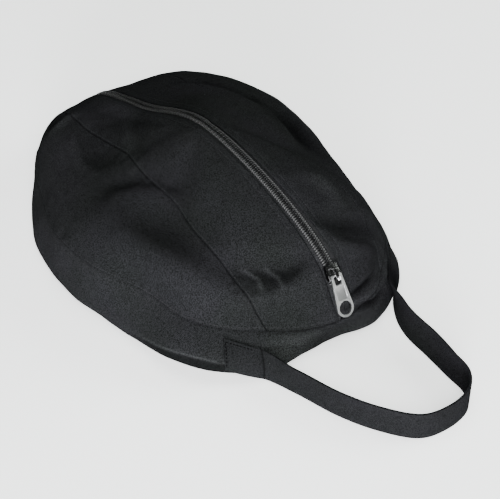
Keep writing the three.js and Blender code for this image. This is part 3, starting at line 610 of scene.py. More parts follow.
# %% [markdown]
# ## Grids laid on the shell
# Each panel starts as a flat grid, which is what a cut piece of cloth is. A simulation could let it
# sag, but it wouldn't sag as in the photograph. So its corners are moved to their places on the
# shell, closer together near the seams where the cloth turns under. A Solidify modifier then gives
# it the thickness of the cloth.


# %% Selecting and editing
def only(piece):
    """Selects one object and makes it the active one."""
    bpy.ops.object.select_all(action="DESELECT")
    piece.select_set(True)
    bpy.context.view_layer.objects.active = piece


def in_edit_mode(piece, *steps):
    """Runs steps of edit mode on all of a piece."""
    only(piece)
    bpy.ops.object.mode_set(mode="EDIT")
    bpy.ops.mesh.select_all(action="SELECT")
    for step in steps:
        step()
    bpy.ops.object.mode_set(mode="OBJECT")


# %% Corners, shades and places in the model
def corners_of(piece):
    flat = np.empty(3 * len(piece.data.vertices), np.float32)
    piece.data.vertices.foreach_get("co", flat)
    return flat.reshape(-1, 3).astype(float)


def move_corners(piece, points):
    corners = np.ascontiguousarray(points, dtype=np.float32)
    piece.data.vertices.foreach_set("co", corners.ravel())
    piece.data.update()


def paint_shade(piece, shade):
    """Writes a shade on each corner of a piece, 1 for the plain look and less where it is darker."""
    layer = piece.data.color_attributes.new("shade", "FLOAT_COLOR", "POINT")
    rgba = np.ones((len(piece.data.vertices), 4), np.float32)
    rgba[:, :3] = np.asarray(shade, np.float32)[:, None]
    layer.data.foreach_set("color", rgba.ravel())


def belongs(piece, body, slot, look, *nodes):
    """Says which body a piece rides on, which finish it has and which CAD nodes it stands for."""
    piece.data.materials.clear()
    piece.data.materials.append(look)
    if nodes:
        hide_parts(*nodes)
    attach(piece, body)
    print(piece.name, len(piece.data.polygons), "faces")


# %% Helpers for sheets of cloth
def flat_grid(name, columns, rows):
    """A flat grid, and for each corner its share of the way across and along."""
    bpy.ops.object.select_all(action="DESELECT")
    bpy.ops.mesh.primitive_grid_add(x_subdivisions=columns, y_subdivisions=rows, size=2)
    piece = bpy.context.object
    piece.name = piece.data.name = name
    corners = corners_of(piece)
    return piece, (corners[:, 0] + 1) / 2, (corners[:, 1] + 1) / 2


def closer_at_ends(share, pull):
    """Shares that lie closer together near 0 and 1."""
    return (1 - pull) * share + pull * (1 - np.cos(np.pi * share)) / 2


def cloth_uv(piece, across, along):
    """Lays the weave on a piece: its UV map in metres of cloth."""
    corner = np.empty(len(piece.data.loops), np.int64)
    piece.data.loops.foreach_get("vertex_index", corner)
    places = np.stack([across[corner], along[corner]], -1).astype(np.float32)
    piece.data.uv_layers[0].data.foreach_set("uv", places.ravel())


def thicken(piece, thickness, offset=-1):
    """Gives a sheet its thickness, by a Solidify modifier that is applied."""
    only(piece)
    solid = piece.modifiers.new("thickness", "SOLIDIFY")
    solid.thickness = thickness
    solid.offset = offset
    solid.use_even_offset = False
    solid.use_rim = True
    bpy.ops.object.modifier_apply(modifier=solid.name)
    bpy.ops.object.shade_smooth_by_angle(angle=math.radians(50))
    if "shade" not in piece.data.color_attributes:
        paint_shade(piece, np.ones(len(piece.data.vertices)))


print("shares of a row of five", closer_at_ends(np.linspace(0, 1, 5), 0.6).round(3))

# %% [markdown]
# ## Black twill
# The cloth is matt cotton twill: yarns of slightly uneven black in fine diagonal ribs, a little
# faded, with a few flecks of lint. A picture of cloth would repeat, and would need a file. Noise at
# the scale of the yarns colours it, a wave pattern on the UV map makes the ribs as bumps, and the
# shade painted on each piece multiplies the colour. The gloss is off, as black cotton shows none.


# %% Helpers for patterns
def add_node(look, kind, inputs):
    """Adds a node to a look and gives it its inputs."""
    node = look.node_tree.nodes.new("ShaderNode" + kind)
    feed(look, node, inputs)
    return node


def reckon(look, operation, a, b=0.5):
    """Works out one sum or one test on numbers."""
    node = look.node_tree.nodes.new("ShaderNodeMath")
    node.operation = operation
    feed(look, node, {0: a, 1: b})
    return node.outputs["Value"]


def mix_colours(look, a, b, factor=1, blend="MULTIPLY"):
    """Two colours multiplied, or mixed by a factor."""
    mix = look.node_tree.nodes.new("ShaderNodeMix")
    mix.data_type, mix.blend_type = "RGBA", blend
    feed(look, mix, {"Factor": factor, "A": a, "B": b})
    return mix.outputs["Result"]


def painted_shade(look):
    """The shade that paint_shade wrote on the piece."""
    shade = add_node(look, "Attribute", {})
    shade.attribute_name = "shade"
    return shade.outputs["Color"]


def mottle(look, place, scale, low, dark, high, light):
    """Clouds of two colours, dark up to the value low and light from the value high."""
    vector = place.outputs["Object"]
    clouds = add_node(look, "TexNoise", {"Vector": vector, "Scale": scale, "Detail": 3})
    ramp = add_node(look, "ValToRGB", {"Fac": clouds.outputs["Fac"]})
    for end, position, colour in zip(ramp.color_ramp.elements, (low, high), (dark, light)):
        end.position = position
        end.color = (*colour, 1)
    return ramp.outputs["Color"]


print("patterns: clouds, sums, mixed colours and painted shades")

# %% Lint and ribs
# Lint: its cells to a metre, the size of a fleck in its cell, and the cells that have none.
LINT_SCALE, LINT_SIZE, LINT_RARE, LINT_COLOUR = 95, 0.045, 0.93, (0.06, 0.06, 0.06, 1)
RIB_SCALE, RIB_HEADING, RIB_HEIGHT = 260, math.radians(63), 0.0002


def lint_on(look, place):
    """A few flecks of lint: the middles of scattered cells, only those that drew a high number."""
    vector = place.outputs["Object"]
    cells = add_node(look, "TexVoronoi", {"Vector": vector, "Scale": LINT_SCALE})
    drawn = add_node(look, "SeparateColor", {"Color": cells.outputs["Color"]})
    near = reckon(look, "LESS_THAN", cells.outputs["Distance"], LINT_SIZE)
    rare = reckon(look, "GREATER_THAN", drawn.outputs["Red"], LINT_RARE)
    return reckon(look, "MULTIPLY", near, rare)


def ribs_on(look, place):
    """The weave: diagonal ribs laid on the piece's own UV map, in metres of cloth."""
    on_cloth, turn = place.outputs["UV"], (0, 0, RIB_HEADING)
    turned = add_node(look, "Mapping", {"Vector": on_cloth, "Rotation": turn})
    ribs = add_node(look, "TexWave", {
        "Vector": turned.outputs["Vector"], "Scale": RIB_SCALE, "Distortion": 1.5, "Detail": 1,
    })
    height = ribs.outputs["Fac"]
    bump = add_node(look, "Bump", {"Height": height, "Strength": 0.35, "Distance": RIB_HEIGHT})
    return bump.outputs["Normal"]


# a wave pattern has twenty radians to a unit, before its scale
print("a rib every", round(1000 * math.tau / 20 / RIB_SCALE, 1), "mm of cloth")

# %% Cloth of twill
YARN_SCALE, FADING_SCALE = 1300, 14
FADED, FRESH = (0.86, 0.9, 0.86), (1.06, 1.04, 1.1)


def twill_look(name, dark, light):
    """Matt woven cloth: yarns of uneven tone, slow fading, lint, and a painted shade."""
    look, shader = new_look(name, {"Roughness": 0.85, "Specular IOR Level": 0.0})
    place = add_node(look, "TexCoord", {})
    yarns = mottle(look, place, YARN_SCALE, 0.4, dark, 0.6, light)
    fading = mottle(look, place, FADING_SCALE, 0.35, FADED, 0.65, FRESH)
    colour = mix_colours(look, mix_colours(look, yarns, fading), painted_shade(look))
    colour = mix_colours(look, colour, LINT_COLOUR, lint_on(look, place), "MIX")
    feed(look, shader, {"Base Color": colour, "Normal": ribs_on(look, place)})
    return look


twill = twill_look("black_twill", (0.0034, 0.0035, 0.0035), (0.0142, 0.0145, 0.0151))
print("look", twill.name, "with", len(twill.node_tree.nodes), "nodes")

# %% [markdown]
# ## Centre and side panels
# Four panels make the top of the bag. Each centre panel runs from the zip to a long seam, and each
# side panel from that seam to the band. They could be cut from one mesh, but four grids keep a real
# gap at the seams, and each grid's rows follow its own edges. The stitched seams are also painted
# darker, because light hardly reaches the bottom of a groove that is half a millimetre wide.

# %% Edges of the panels
SIDES = (("left", -1), ("right", 1))
SEAM_GAP = 0.0003
# How dark the band's seam is for a metre of its depth, and the panel seam, and their lines' widths.
BAND_SEAM_DARK, PANEL_SEAM_DARK = 400, 0.34
BAND_SEAM_LINE, PANEL_SEAM_LINE = 0.0008, 0.0006


def zip_edge(sign, v):
    return opening_at(sign, v) / span_across(0 * v, v)


def inside_seam(sign, v):
    return seam_u(v) - SEAM_GAP / 2 / span_across(sign * seam_u(v), v)


def outside_seam(sign, v):
    return seam_u(v) + SEAM_GAP / 2 / span_across(sign * seam_u(v), v)


def band_edge(sign, v):
    return 1 + 0 * v


def band_seam_shade(turn, distance):
    """The dark line of the seam between the panels and the band."""
    return 1 - BAND_SEAM_DARK * seam_depth(turn) * bell(distance, BAND_SEAM_LINE)


print("panel seam at the middle, mm", round(1000 * float(seam_u(0)) * BAG_WIDTH / 2))

# %% Panels
CLOTH = 0.0015
PANEL_ROWS, CENTRE_COLUMNS, SIDE_COLUMNS = 320, 104, 120


def panel(name, sign, inner, outer, columns, node):
    """A panel between two of the edges, of the left (-1) or the right (1) side."""
    piece, across, along = flat_grid(name, columns, PANEL_ROWS)
    across, v = closer_at_ends(across, 0.6), 2 * closer_at_ends(along, 0.35) - 1
    u = inner(sign, v) + (outer(sign, v) - inner(sign, v)) * across
    move_corners(piece, cloth_place(sign * u, v))
    cloth_uv(piece, u * BAG_WIDTH / 2, v * BAG_LENGTH / 2)
    turn, step = disc_place(sign * u, v)
    points = shell_at(turn, step)
    to_band = np.linalg.norm(points - shell_at(turn, 0 * step + 1), axis=-1)
    to_seam = np.abs(u - seam_u(v)) * span_across(sign * seam_u(v), v)
    seams = band_seam_shade(turn, to_band)
    seams = seams * (1 - PANEL_SEAM_DARK * seam_draw(v) * bell(to_seam, PANEL_SEAM_LINE))
    # the creases' painted shade and light, times the seams' painted shade
    paint_shade(piece, creases(points)[1] * seams)
    if sign < 0:
        in_edit_mode(piece, bpy.ops.mesh.flip_normals)
    thicken(piece, CLOTH)
    belongs(piece, "bag", "black_twill", twill, node)


for side, sign in SIDES:
    centre_node, side_node = "centre_panel_" + side, "side_panel_" + side
    panel("centre_cloth_" + side, sign, zip_edge, inside_seam, CENTRE_COLUMNS, centre_node)
    panel("side_cloth_" + side, sign, outside_seam, band_edge, SIDE_COLUMNS, side_node)

# %% [markdown]
# ## Band
# The band is a strip of the same twill round the foot of the bag. It hangs from its seam, bulges a
# little, folds near the floor and turns under to the base. It could be extruded from the panels'
# edge. Laid as its own grid it keeps its own seam, and its rows can be spaced along that section. At
# the front left it has slumped out over its foot, so the fold sits higher there and shades the foot.
# A painted shade also darkens the cloth under that fold, a painted highlight lies along its edge,
# and the whole band has a little painted light.

# %% Wall of the band
# The height at which the band's direction is read.
BAND_LEVEL = 0.012


def fold_height(turn):
    return wall_at("fold", turn) * BAG_HEIGHT + SLUMP_RAISE * slump(turn)


def band_wall(turn, height):
    """Points on the band's upright face."""
    top, fold = wall_at("seam", turn) * BAG_HEIGHT, fold_height(turn)
    down = np.clip((top - height) / (top - fold), 0, 1)
    ease = np.sin(down * np.pi / 2)
    return plan_point(turn, reach_at(turn) * (1 - ease) + foot_at(turn) * ease, height)


def band_level(turn):
    """The level direction that the band faces."""
    line = band_wall(turn + 1, BAND_LEVEL) - band_wall(turn - 1, BAND_LEVEL)
    return unit(np.stack([-line[..., 1], line[..., 0], 0 * turn], -1))


print("height of the fold in the slump, mm", round(1000 * float(fold_height(SLUMP_TURN)), 1))

# %% Section of the band
FOOT_CURL, BASE_TUCK = 0.007, 0.009
# On the way down the band, 0 is the seam, 1 the fold, CURL_DONE the turned foot and 2 the base.
CURL_DONE = 1.6


def band_place(turn, down):
    """Points on the band, the way it faces and the height below its seam."""
    top, fold = wall_at("seam", turn) * BAG_HEIGHT, fold_height(turn)
    height = top + (fold - top) * np.minimum(down, 1)
    points, level = band_wall(turn, height), band_level(turn)
    curl = np.clip((down - 1) / (CURL_DONE - 1), 0, 1) * np.pi / 2
    tuck = np.clip((down - CURL_DONE) / (2 - CURL_DONE), 0, 1)
    rounding = (1 - np.cos(curl)) ** (1 - 0.45 * slump(turn))
    foot_curl = (FOOT_CURL + SLUMP_TUCK * slump(turn)) * rounding
    points = points - level * (foot_curl + BASE_TUCK * tuck)[..., None]
    points[..., 2] -= fold * np.sin(curl)
    return points, level, top - height


def even_turns(shares):
    """Directions spaced evenly by the length of the band, and that length."""
    turns = np.linspace(0, 360, 1441)
    lengths = lengths_along(plan_point(turns, reach_at(turns), 0))
    return np.interp(shares * lengths[-1], lengths, turns), lengths[-1]


print("band round the bag, mm", round(1000 * even_turns(1)[1]))

# %% Band round the foot
BAND_COLUMNS, BAND_ROWS, BAND_STRIP = 640, 60, 0.06
# The ridge of folded cloth below the seam: share of the seam's depth, place and width.
RIDGE_SHARE, RIDGE_PLACE, RIDGE_WIDTH = 0.4, 0.0038, 0.0014

band, across, along = flat_grid("band_cloth", BAND_COLUMNS, BAND_ROWS)
turn, band_length = even_turns(across)
down = 2 * (1 - along)
points, level, from_seam = band_place(turn, down)
crease_lift, crease_painted_tone = creases(points)
lift = swell(points) + crease_lift
lift += puckers(from_seam, np.radians(turn) * BAND_RADIUS, *BAND_PUCKERS)
lift += groove(from_seam, seam_depth(turn), BAND_GROOVE_WIDTH)
lift += RIDGE_SHARE * seam_depth(turn) * bell(from_seam - RIDGE_PLACE, RIDGE_WIDTH)
# the relief dies away under the foot, from 1.3 to 1.9 on the way down
lift *= np.clip((1.9 - down) / 0.6, 0, 1)
move_corners(band, points + lift[:, None] * level)
print("relief of the band, mm", (1000 * lift.min()).round(1), "to", (1000 * lift.max()).round(1))

# %% Tones of the band
# Painted light over the whole band, painted shade on the cloth under the slump's fold, and a painted
# highlight along the edge of that fold.
BAND_PAINTED_LIGHT, UNDER_SHADE, EDGE_HIGHLIGHT = 1.1, 0.5, 0.9
EDGE_PLACE, EDGE_SPREAD, UNDER_FROM, UNDER_FADE = 0.95, 0.045, 0.99, 0.05

# where the painted shade under the slump's fold lies
under = np.clip((down - UNDER_FROM) / UNDER_FADE, 0, 1) * np.minimum(1.6 * slump(turn), 1)
# where the painted highlight along the fold's edge lies
edge = slump(turn) * bell(down - EDGE_PLACE, EDGE_SPREAD)
tone = BAND_PAINTED_LIGHT * crease_painted_tone * (1 - UNDER_SHADE * under)
tone = tone * band_seam_shade(turn, from_seam) * (1 + EDGE_HIGHLIGHT * edge)
paint_shade(band, tone)
cloth_uv(band, across * band_length, along * BAND_STRIP)
close_ring = lambda: bpy.ops.mesh.remove_doubles(threshold=0.00001)
in_edit_mode(band, close_ring, bpy.ops.mesh.flip_normals)
thicken(band, CLOTH)
belongs(band, "bag", "black_twill", twill, "base_band")

# %% [markdown]
# ## Base
# The base is one flat panel inside the band's turned-in edge. Nobody sees it, but the part can be
# turned over. A filled circle is enough, moved to the band's edge, with one inset row of faces, so
# that the rounded edge of the cloth doesn't run into one great face.

# %% Flat base
BASE_CORNERS = 240
bpy.ops.object.select_all(action="DESELECT")
bpy.ops.mesh.primitive_circle_add(vertices=BASE_CORNERS, radius=0.1, fill_type="NGON")
base = bpy.context.object
base.name = base.data.name = "base_cloth"
turn, _ = even_turns(np.arange(BASE_CORNERS) / BASE_CORNERS)
points, level, _ = band_place(turn, 0 * turn + 2)
move_corners(base, points - level * SEAM_GAP)
face_outward = lambda: bpy.ops.mesh.normals_make_consistent(inside=False)
inset_row = lambda: bpy.ops.mesh.inset(thickness=0.004)
in_edit_mode(base, face_outward, inset_row)
thicken(base, CLOTH, offset=1)
belongs(base, "bag", "black_twill", twill, "base_panel")

# %% [markdown]
# ## Zip tapes
# A zip is two woven tapes with a chain on their inner edges, and the tapes are sewn under the cloth
# on both sides of its slot. They could be swept along a curve, but a sweep tilts where the crown
# bends. So they are grids laid on the shell, like the panels, and sunk a little below it. In front
# of the slider the two sides part, to pass the slider's post.

# %% Places along the zip
ZIP_ROWS = np.linspace(-1, 1, 801)
ZIP_LENGTHS = lengths_along(shell(0 * ZIP_ROWS, ZIP_ROWS))
ZIP_LENGTH = ZIP_LENGTHS[-1]
SLIDER_FROM_FRONT, SLIDER_LENGTH, POST_LENGTH = 0.042, 0.015, 0.0032
PART_LENGTH, PART_OPEN, HALF_CHAIN_GAP = 0.0045, 0.0008, 0.00012


def zip_place(distance, across, depth):
    """Points by the distance from the zip's front end, across it, and down from the cloth."""
    v = np.interp(distance, ZIP_LENGTHS, ZIP_ROWS)
    u = across / span_across(0 * v, v)
    return shell(u, v) - shell_normal(u, v) * np.asarray(depth)[..., None]


def zip_splay(distance):
    """How far a side has parted from the middle: all the way before the slider, not behind it."""
    closed = SLIDER_FROM_FRONT + POST_LENGTH / 2 + PART_LENGTH
    return PART_OPEN * np.clip((closed - distance) / PART_LENGTH, 0, 1)


print("zip length, mm", round(1000 * ZIP_LENGTH))

# %% Tapes
TAPE_DEPTH, TAPE_THICKNESS, TAPE_REACH, TAPE_END = 0.0018, 0.0006, 0.014, 0.0005
tape_look = twill_look("black_zip_tape", (0.006, 0.006, 0.0062), (0.022, 0.022, 0.0225))
for side, sign in SIDES:
    tape, across, along = flat_grid("zip_tape_cloth_" + side, 8, 300)
    distance = TAPE_END + along * (ZIP_LENGTH - 2 * TAPE_END)
    inner = HALF_CHAIN_GAP + zip_splay(distance)
    out = inner + (TAPE_REACH - inner) * across
    move_corners(tape, zip_place(distance, sign * out, TAPE_DEPTH + 0 * out))
    cloth_uv(tape, sign * out, distance)
    if sign < 0:
        in_edit_mode(tape, bpy.ops.mesh.flip_normals)
    thicken(tape, TAPE_THICKNESS)
    belongs(tape, "bag", "black_zip_tape", tape_look, "zip_tape_" + side)

# %% [markdown]
# ## The coiled chain
# The chain is a nylon coil: on each side one thread runs to and fro across the tape's edge, and its
# rounded heads lock into those of the other side. One tooth could be copied as a block, but a real
# coil shows as a thread, so one turn of it is drawn as eight points and repeated all the way. The
# plastic is smooth and black, with a painted highlight, grey, on top of its loops and a painted
# shade over the middle, where the heads meet. Its colour therefore follows the distance from the
# middle of the bag.

# %% Look of the coil
# Colours of the coil: a painted shade over the heads, and a painted highlight on the loops.
COIL_DARK, COIL_HIGHLIGHT = (0.0012, 0.0012, 0.0012, 1), (0.05, 0.05, 0.05, 1)
# Distances from the middle of the bag: where the painted shade over the heads ends, and where the
# painted highlight on the loops begins.
HEADS_END, LOOPS_FROM = 0.0015, 0.0031

coil_look, shader = new_look("black_zip_coil", {"Roughness": 0.3, "Specular IOR Level": 0.3})
place = add_node(coil_look, "TexCoord", {})
parts = add_node(coil_look, "SeparateXYZ", {"Vector": place.outputs["Object"]})
away = reckon(coil_look, "ABSOLUTE", parts.outputs["X"])
highlight_share = add_node(coil_look, "MapRange", {
    "Value": away, "From Min": HEADS_END, "From Max": LOOPS_FROM,
})
colour = mix_colours(coil_look, COIL_DARK, COIL_HIGHLIGHT, highlight_share.outputs["Result"], "MIX")
feed(coil_look, shader, {"Base Color": mix_colours(coil_look, colour, painted_shade(coil_look))})
print("look", coil_look.name)

# %% One turn of the thread
THREAD = 0.00036
COIL_WIDTH, COIL_HEIGHT, COIL_PITCH, COIL_LIFT = 0.0041, 0.0023, 0.00212, 0.0001
COIL_TURN = np.array([
    # across from its head outwards, along the zip in turns, and up
    (0.95, -0.02, 0.22),
    (0.97, 0.04, 0.6),
    (0.8, 0.12, 0.84),
    (0.3, 0.3, 0.9),
    (0.12, 0.38, 0.82),
    (0.1, 0.44, 0.5),
    (0.14, 0.5, 0.24),
    (0.5, 0.75, 0.18),
])


def thread_curve(name, points, radius):
    """A round thread along a row of points, made from a curve and turned into a mesh."""
    data = bpy.data.curves.new(name, "CURVE")
    data.dimensions = "3D"
    data.bevel_depth = radius
    data.bevel_resolution = 1
    data.use_fill_caps = True
    line = data.splines.new("POLY")
    line.points.add(len(points) - 1)
    places = np.concatenate([points, np.ones((len(points), 1))], 1).astype(np.float32)
    line.points.foreach_set("co", places.ravel())
    piece = bpy.data.objects.new(name, data)
    bpy.context.collection.objects.link(piece)
    only(piece)
    bpy.ops.object.convert(target="MESH")
    bpy.ops.object.shade_smooth_by_angle(angle=math.radians(60))
    return bpy.context.object


print("thread of one turn, mm", round(1000 * lengths_along(COIL_TURN * COIL_WIDTH)[-1], 1))

# %% The two coils
# The chain begins under the slider and ends short of the zip's back end. A painted shade darkens it
# towards the back: from the first place along the bag to the second its shade falls.
COIL_FROM, ZIP_END = SLIDER_FROM_FRONT - SLIDER_LENGTH / 2 - 0.001, 0.004
COIL_SHADE_PLACES, COIL_SHADES = (-0.1, 0.04), (1, 0.22)
for side, sign in SIDES:
    count = int((ZIP_LENGTH - ZIP_END - COIL_FROM) / COIL_PITCH)
    place = np.arange(count)[:, None] + COIL_TURN[None, :, 1] + (0.5 if sign > 0 else 0)
    distance = (COIL_FROM + COIL_PITCH * place).ravel()
    across = np.tile(COIL_TURN[:, 0], count) * COIL_WIDTH + HALF_CHAIN_GAP + zip_splay(distance)
    up = np.tile(COIL_TURN[:, 2], count) * COIL_HEIGHT
    points = zip_place(distance, sign * across, TAPE_DEPTH - COIL_LIFT - up)
    coil = thread_curve("zip_coil_thread_" + side, points, THREAD)
    paint_shade(coil, np.interp(corners_of(coil)[:, 1], COIL_SHADE_PLACES, COIL_SHADES))
    belongs(coil, "bag", "black_zip_coil", coil_look, "zip_coil_" + side)

# %% [markdown]
# ## Cast metal
# The slider is dark and the pull is grey. Both are cast zinc, plated and worn, so they are metal to
# the shader, in one even colour, and noise changes only their roughness, as fine scratches do. The
# slider's right flank has a painted reflection, lighter, and the floor of the pull's window a
# painted shade, darker, both painted on their corners.

# %% Looks of the metal
SCRATCH_SCALE, SMOOTHER, ROUGHER = 420, 0.06, 0.08


def metal_look(name, colour, roughness):
    """Cast metal: even grey, brushed by fine scratches, with a painted shade."""
    look, shader = new_look(name, {"Metallic": 1})
    place = add_node(look, "TexCoord", {})
    vector = place.outputs["Object"]
    wear = add_node(look, "TexNoise", {"Vector": vector, "Scale": SCRATCH_SCALE, "Detail": 4})
    value = wear.outputs["Fac"]
    smooth, rough = roughness - SMOOTHER, roughness + ROUGHER
    spread = add_node(look, "MapRange", {"Value": value, "To Min": smooth, "To Max": rough})
    shaded = mix_colours(look, (*colour, 1), painted_shade(look))
    feed(look, shader, {"Base Color": shaded, "Roughness": spread.outputs["Result"]})
    return look


slider_look = metal_look("dark_slider_metal", (0.13, 0.13, 0.13), 0.2)
pull_look = metal_look("grey_pull_metal", (0.43, 0.43, 0.43), 0.36)
print("looks", slider_look.name, "and", pull_look.name)

# %% [markdown]
# ## Slider and pull
# Both are small castings, so their shapes come from the CAD model as they are. Casting leaves no
# sharp edge, though, and it is the rounded edges that catch the light. They could be modelled again,
# but a copy of each CAD piece keeps every size: its loose triangles are merged into one skin, its
# flat faces are joined up, and a Bevel modifier rounds every sharp edge.


# %% Copies with rounded edges
def cast_copy(node, name, edge):
    """A copy of a CAD piece with every sharp edge rounded."""
    only(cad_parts[node])
    bpy.ops.object.duplicate()
    piece = bpy.context.object
    piece.name = piece.data.name = name
    piece.parent = None
    # the copy is a piece of its own, so it drops the marks of the CAD node
    for key in [key for key in piece.keys() if key.startswith("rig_")]:
        del piece[key]
    merge = lambda: bpy.ops.mesh.remove_doubles(threshold=0.00002)
    join_flat = lambda: bpy.ops.mesh.dissolve_limited(angle_limit=math.radians(2))
    in_edit_mode(piece, merge, join_flat)
    bevel = piece.modifiers.new("cast edges", "BEVEL")
    bevel.width = edge
    bevel.segments = 3
    bevel.limit_method = "ANGLE"
    bevel.angle_limit = math.radians(40)
    bevel.use_clamp_overlap = True
    bpy.ops.object.modifier_apply(modifier=bevel.name)
    bpy.ops.object.shade_smooth_by_angle(angle=math.radians(35))
    return piece


# %% Slider
# On its right flank, right of the first number, the slider has a painted reflection, a highlight as
# strong as the second number.
FLANK_HIGHLIGHT_FROM, FLANK_HIGHLIGHT = 0.0024, 2.6
slider = cast_copy("slider_body", "slider", 0.00028)
paint_shade(slider, np.where(corners_of(slider)[:, 0] > FLANK_HIGHLIGHT_FROM, FLANK_HIGHLIGHT, 1))
belongs(slider, "bag", "dark_slider_metal", slider_look, "slider_body")

# %% Pull
# The pull's pivot, the way its flat faces look, how far its window's floor is from its middle, and
# the painted shade on that floor.
PULL_PIVOT, PULL_FACING = (-0.000265, -0.171319, 0.063562), (-0.0546, -0.892, 0.4488)
PULL_WINDOW, WINDOW_SHADE = 0.00048, 0.8
pull = cast_copy("pull_tab", "pull", 0.00026)
through = (corners_of(pull) - PULL_PIVOT) @ PULL_FACING
paint_shade(pull, np.where(np.abs(through) < PULL_WINDOW, WINDOW_SHADE, 1))
belongs(pull, "pull", "grey_pull_metal", pull_look, "pull_tab")

# %% [markdown]
# ## Webbing loop
# The loop is one strip of plain webbing, 25 mm wide. Both ends lie flat on the band and are sewn
# down, and the free stretch stands on its edge on the floor. A curve with a flat profile could make
# it, but such a profile twists at will. So the strip is a long grid, as the panels are, and a line
# across it is worked out for each place along its route. The route is the CAD model's.

# %% Sewn ends
WEBBING_WIDTH, WEBBING_THICKNESS = 0.025, 0.0018
WEBBING_SEWN, WEBBING_STAND = 0.031, 0.00012
# Directions where the loop leaves the band, and the heights of its free edge and its sewn ends.
TURN_LEFT, TURN_RIGHT, WEBBING_REST, WEBBING_LIFT = 29, 27, 0.0002, 0.0148
ACROSS = np.linspace(0, 1, 13)


def band_out(turn, height):
    """The direction that the band faces, with its lean."""
    along = band_wall(turn + 1, height) - band_wall(turn - 1, height)
    upward = band_wall(turn, height + 0.001) - band_wall(turn, height - 0.001)
    return unit(-np.cross(along, upward))


def sewn_line(turn, lift):
    """A line up the webbing where it lies on the band, by its true width on the sloped cloth."""
    fine = lift + np.linspace(0, 1.1, 111) * WEBBING_WIDTH
    widths = lengths_along(band_wall(turn + 0 * fine, fine))
    height = np.interp(ACROSS * WEBBING_WIDTH, widths, fine)
    turns = turn + 0 * height
    stand = WEBBING_STAND + WEBBING_THICKNESS / 2
    return band_wall(turns, height) + band_out(turns, height) * stand


def sewn_stretch(turn, sign, rows=24):
    """Lines across the webbing, from the loop to its sewn end."""
    fine = turn + sign * np.arange(0, 40, 0.05)
    lengths = lengths_along(band_wall(fine, WEBBING_WIDTH / 2 + 0 * fine))
    shares = np.linspace(0, 1, rows)
    turns = np.interp(shares * WEBBING_SEWN, lengths, fine)
    lifts = WEBBING_REST + shares * (WEBBING_LIFT - WEBBING_REST)
    return np.array([sewn_line(*place) for place in zip(turns, lifts)])


left_sewn = sewn_stretch(TURN_LEFT, 1)[::-1]
right_sewn = sewn_stretch(360 - TURN_RIGHT, -1)
left_exit, right_exit = left_sewn[-1], right_sewn[0]
exits = (1000 * np.array([left_exit[0, 0], right_exit[0, 0]])).round()
print("the loop leaves the band at x, mm", exits)

# %% Route of the free loop
LOOP_REACH, LOOP_SPAN, LOOP_ROWS = 0.1305, 0.15, 220
LOOP = np.array([
    # across, out, lean
    (-0.447, 0.242, 0),
    (-0.38, 0.53, 0),
    (-0.287, 0.766, 0),
    (-0.16, 0.953, 0),
    (0, 1, 0),
    (0.16, 0.969, 0),
    (0.245, 0.86, 0),
    (0.264, 0.695, 0.1),
    (0.287, 0.49, 0.2),
    (0.307, 0.289, 0.2),
    (0.36, 0.13, 0.1),
])


def ground(point):
    return np.array([point[0], point[1], 0])


def points_at(places, lengths, points):
    """Points at some lengths along a row of points."""
    return np.stack([np.interp(places, lengths, points[:, k]) for k in range(3)], -1)


front_edge = (left_exit[0][1] + right_exit[0][1]) / 2
knots = [ground(left_sewn[-9][0]), ground(left_exit[0])]
knots += [np.array([x * LOOP_SPAN, front_edge - out * LOOP_REACH, 0]) for x, out, _ in LOOP]
knots += [ground(right_exit[0]), ground(right_sewn[8][0])]
knots = np.array(knots)
keys = np.concatenate([[0], np.cumsum(np.sqrt(np.linalg.norm(np.diff(knots, axis=0), axis=-1)))])
at = np.linspace(keys[1], keys[-2], 1500)
route = np.stack([read_curve(keys, knots[:, k], at) for k in range(3)], -1)
route_lengths = lengths_along(route)
loop_points = points_at(np.linspace(0, route_lengths[-1], LOOP_ROWS), route_lengths, route)
print("free webbing, mm", round(1000 * route_lengths[-1]))

# %% Lines across the free loop
# The share of the loop in which its lean settles from the band's to its own.
SETTLE, UP = 0.09, np.array([0, 0, 1.0])
loop_shares = np.linspace(0, 1, LOOP_ROWS)
lean_table = np.concatenate([[0], LOOP[:, 2], [0]])
leans = read_curve(np.linspace(0, 1, len(lean_table)), lean_table, loop_shares)


def smooth_share(at, low, high):
    t = np.clip((at - low) / (high - low), 0, 1)
    return t * t * (3 - 2 * t)


def like(exit_line, point):
    """A line over a point of the route that leans as the webbing does where it leaves the band."""
    line = point + exit_line - ground(exit_line[0])
    line[:, 2] = exit_line[:, 2] - WEBBING_REST
    return line


lines = []
for k in range(1, LOOP_ROWS - 1):
    share, point = k / (LOOP_ROWS - 1), loop_points[k]
    out = np.cross(unit(loop_points[k + 1] - loop_points[k - 1]), UP)
    line = point + unit(UP + out * leans[k]) * (ACROSS[:, None] * WEBBING_WIDTH)
    line += (like(left_exit, point) - line) * (1 - smooth_share(share, 0, SETTLE))
    line += (like(right_exit, point) - line) * smooth_share(share, 1 - SETTLE, 1)
    line[:, 2] += WEBBING_REST
    lines.append(line)
lines = np.concatenate([left_sewn, np.array(lines), right_sewn])
print(len(lines), "lines across the webbing")

# %% The strip
# Painted light over the whole webbing, painted shade in the crease where it leaves the band on the
# left, and painted shade where it tucks in behind the corner on the right.
WEBBING_PAINTED_LIGHT, CREASE_SHADE, TUCKED_SHADE = 1.1, 0.65, 0.6
CREASE_WIDTH, TUCKED_WIDTH = 0.0013, 0.014

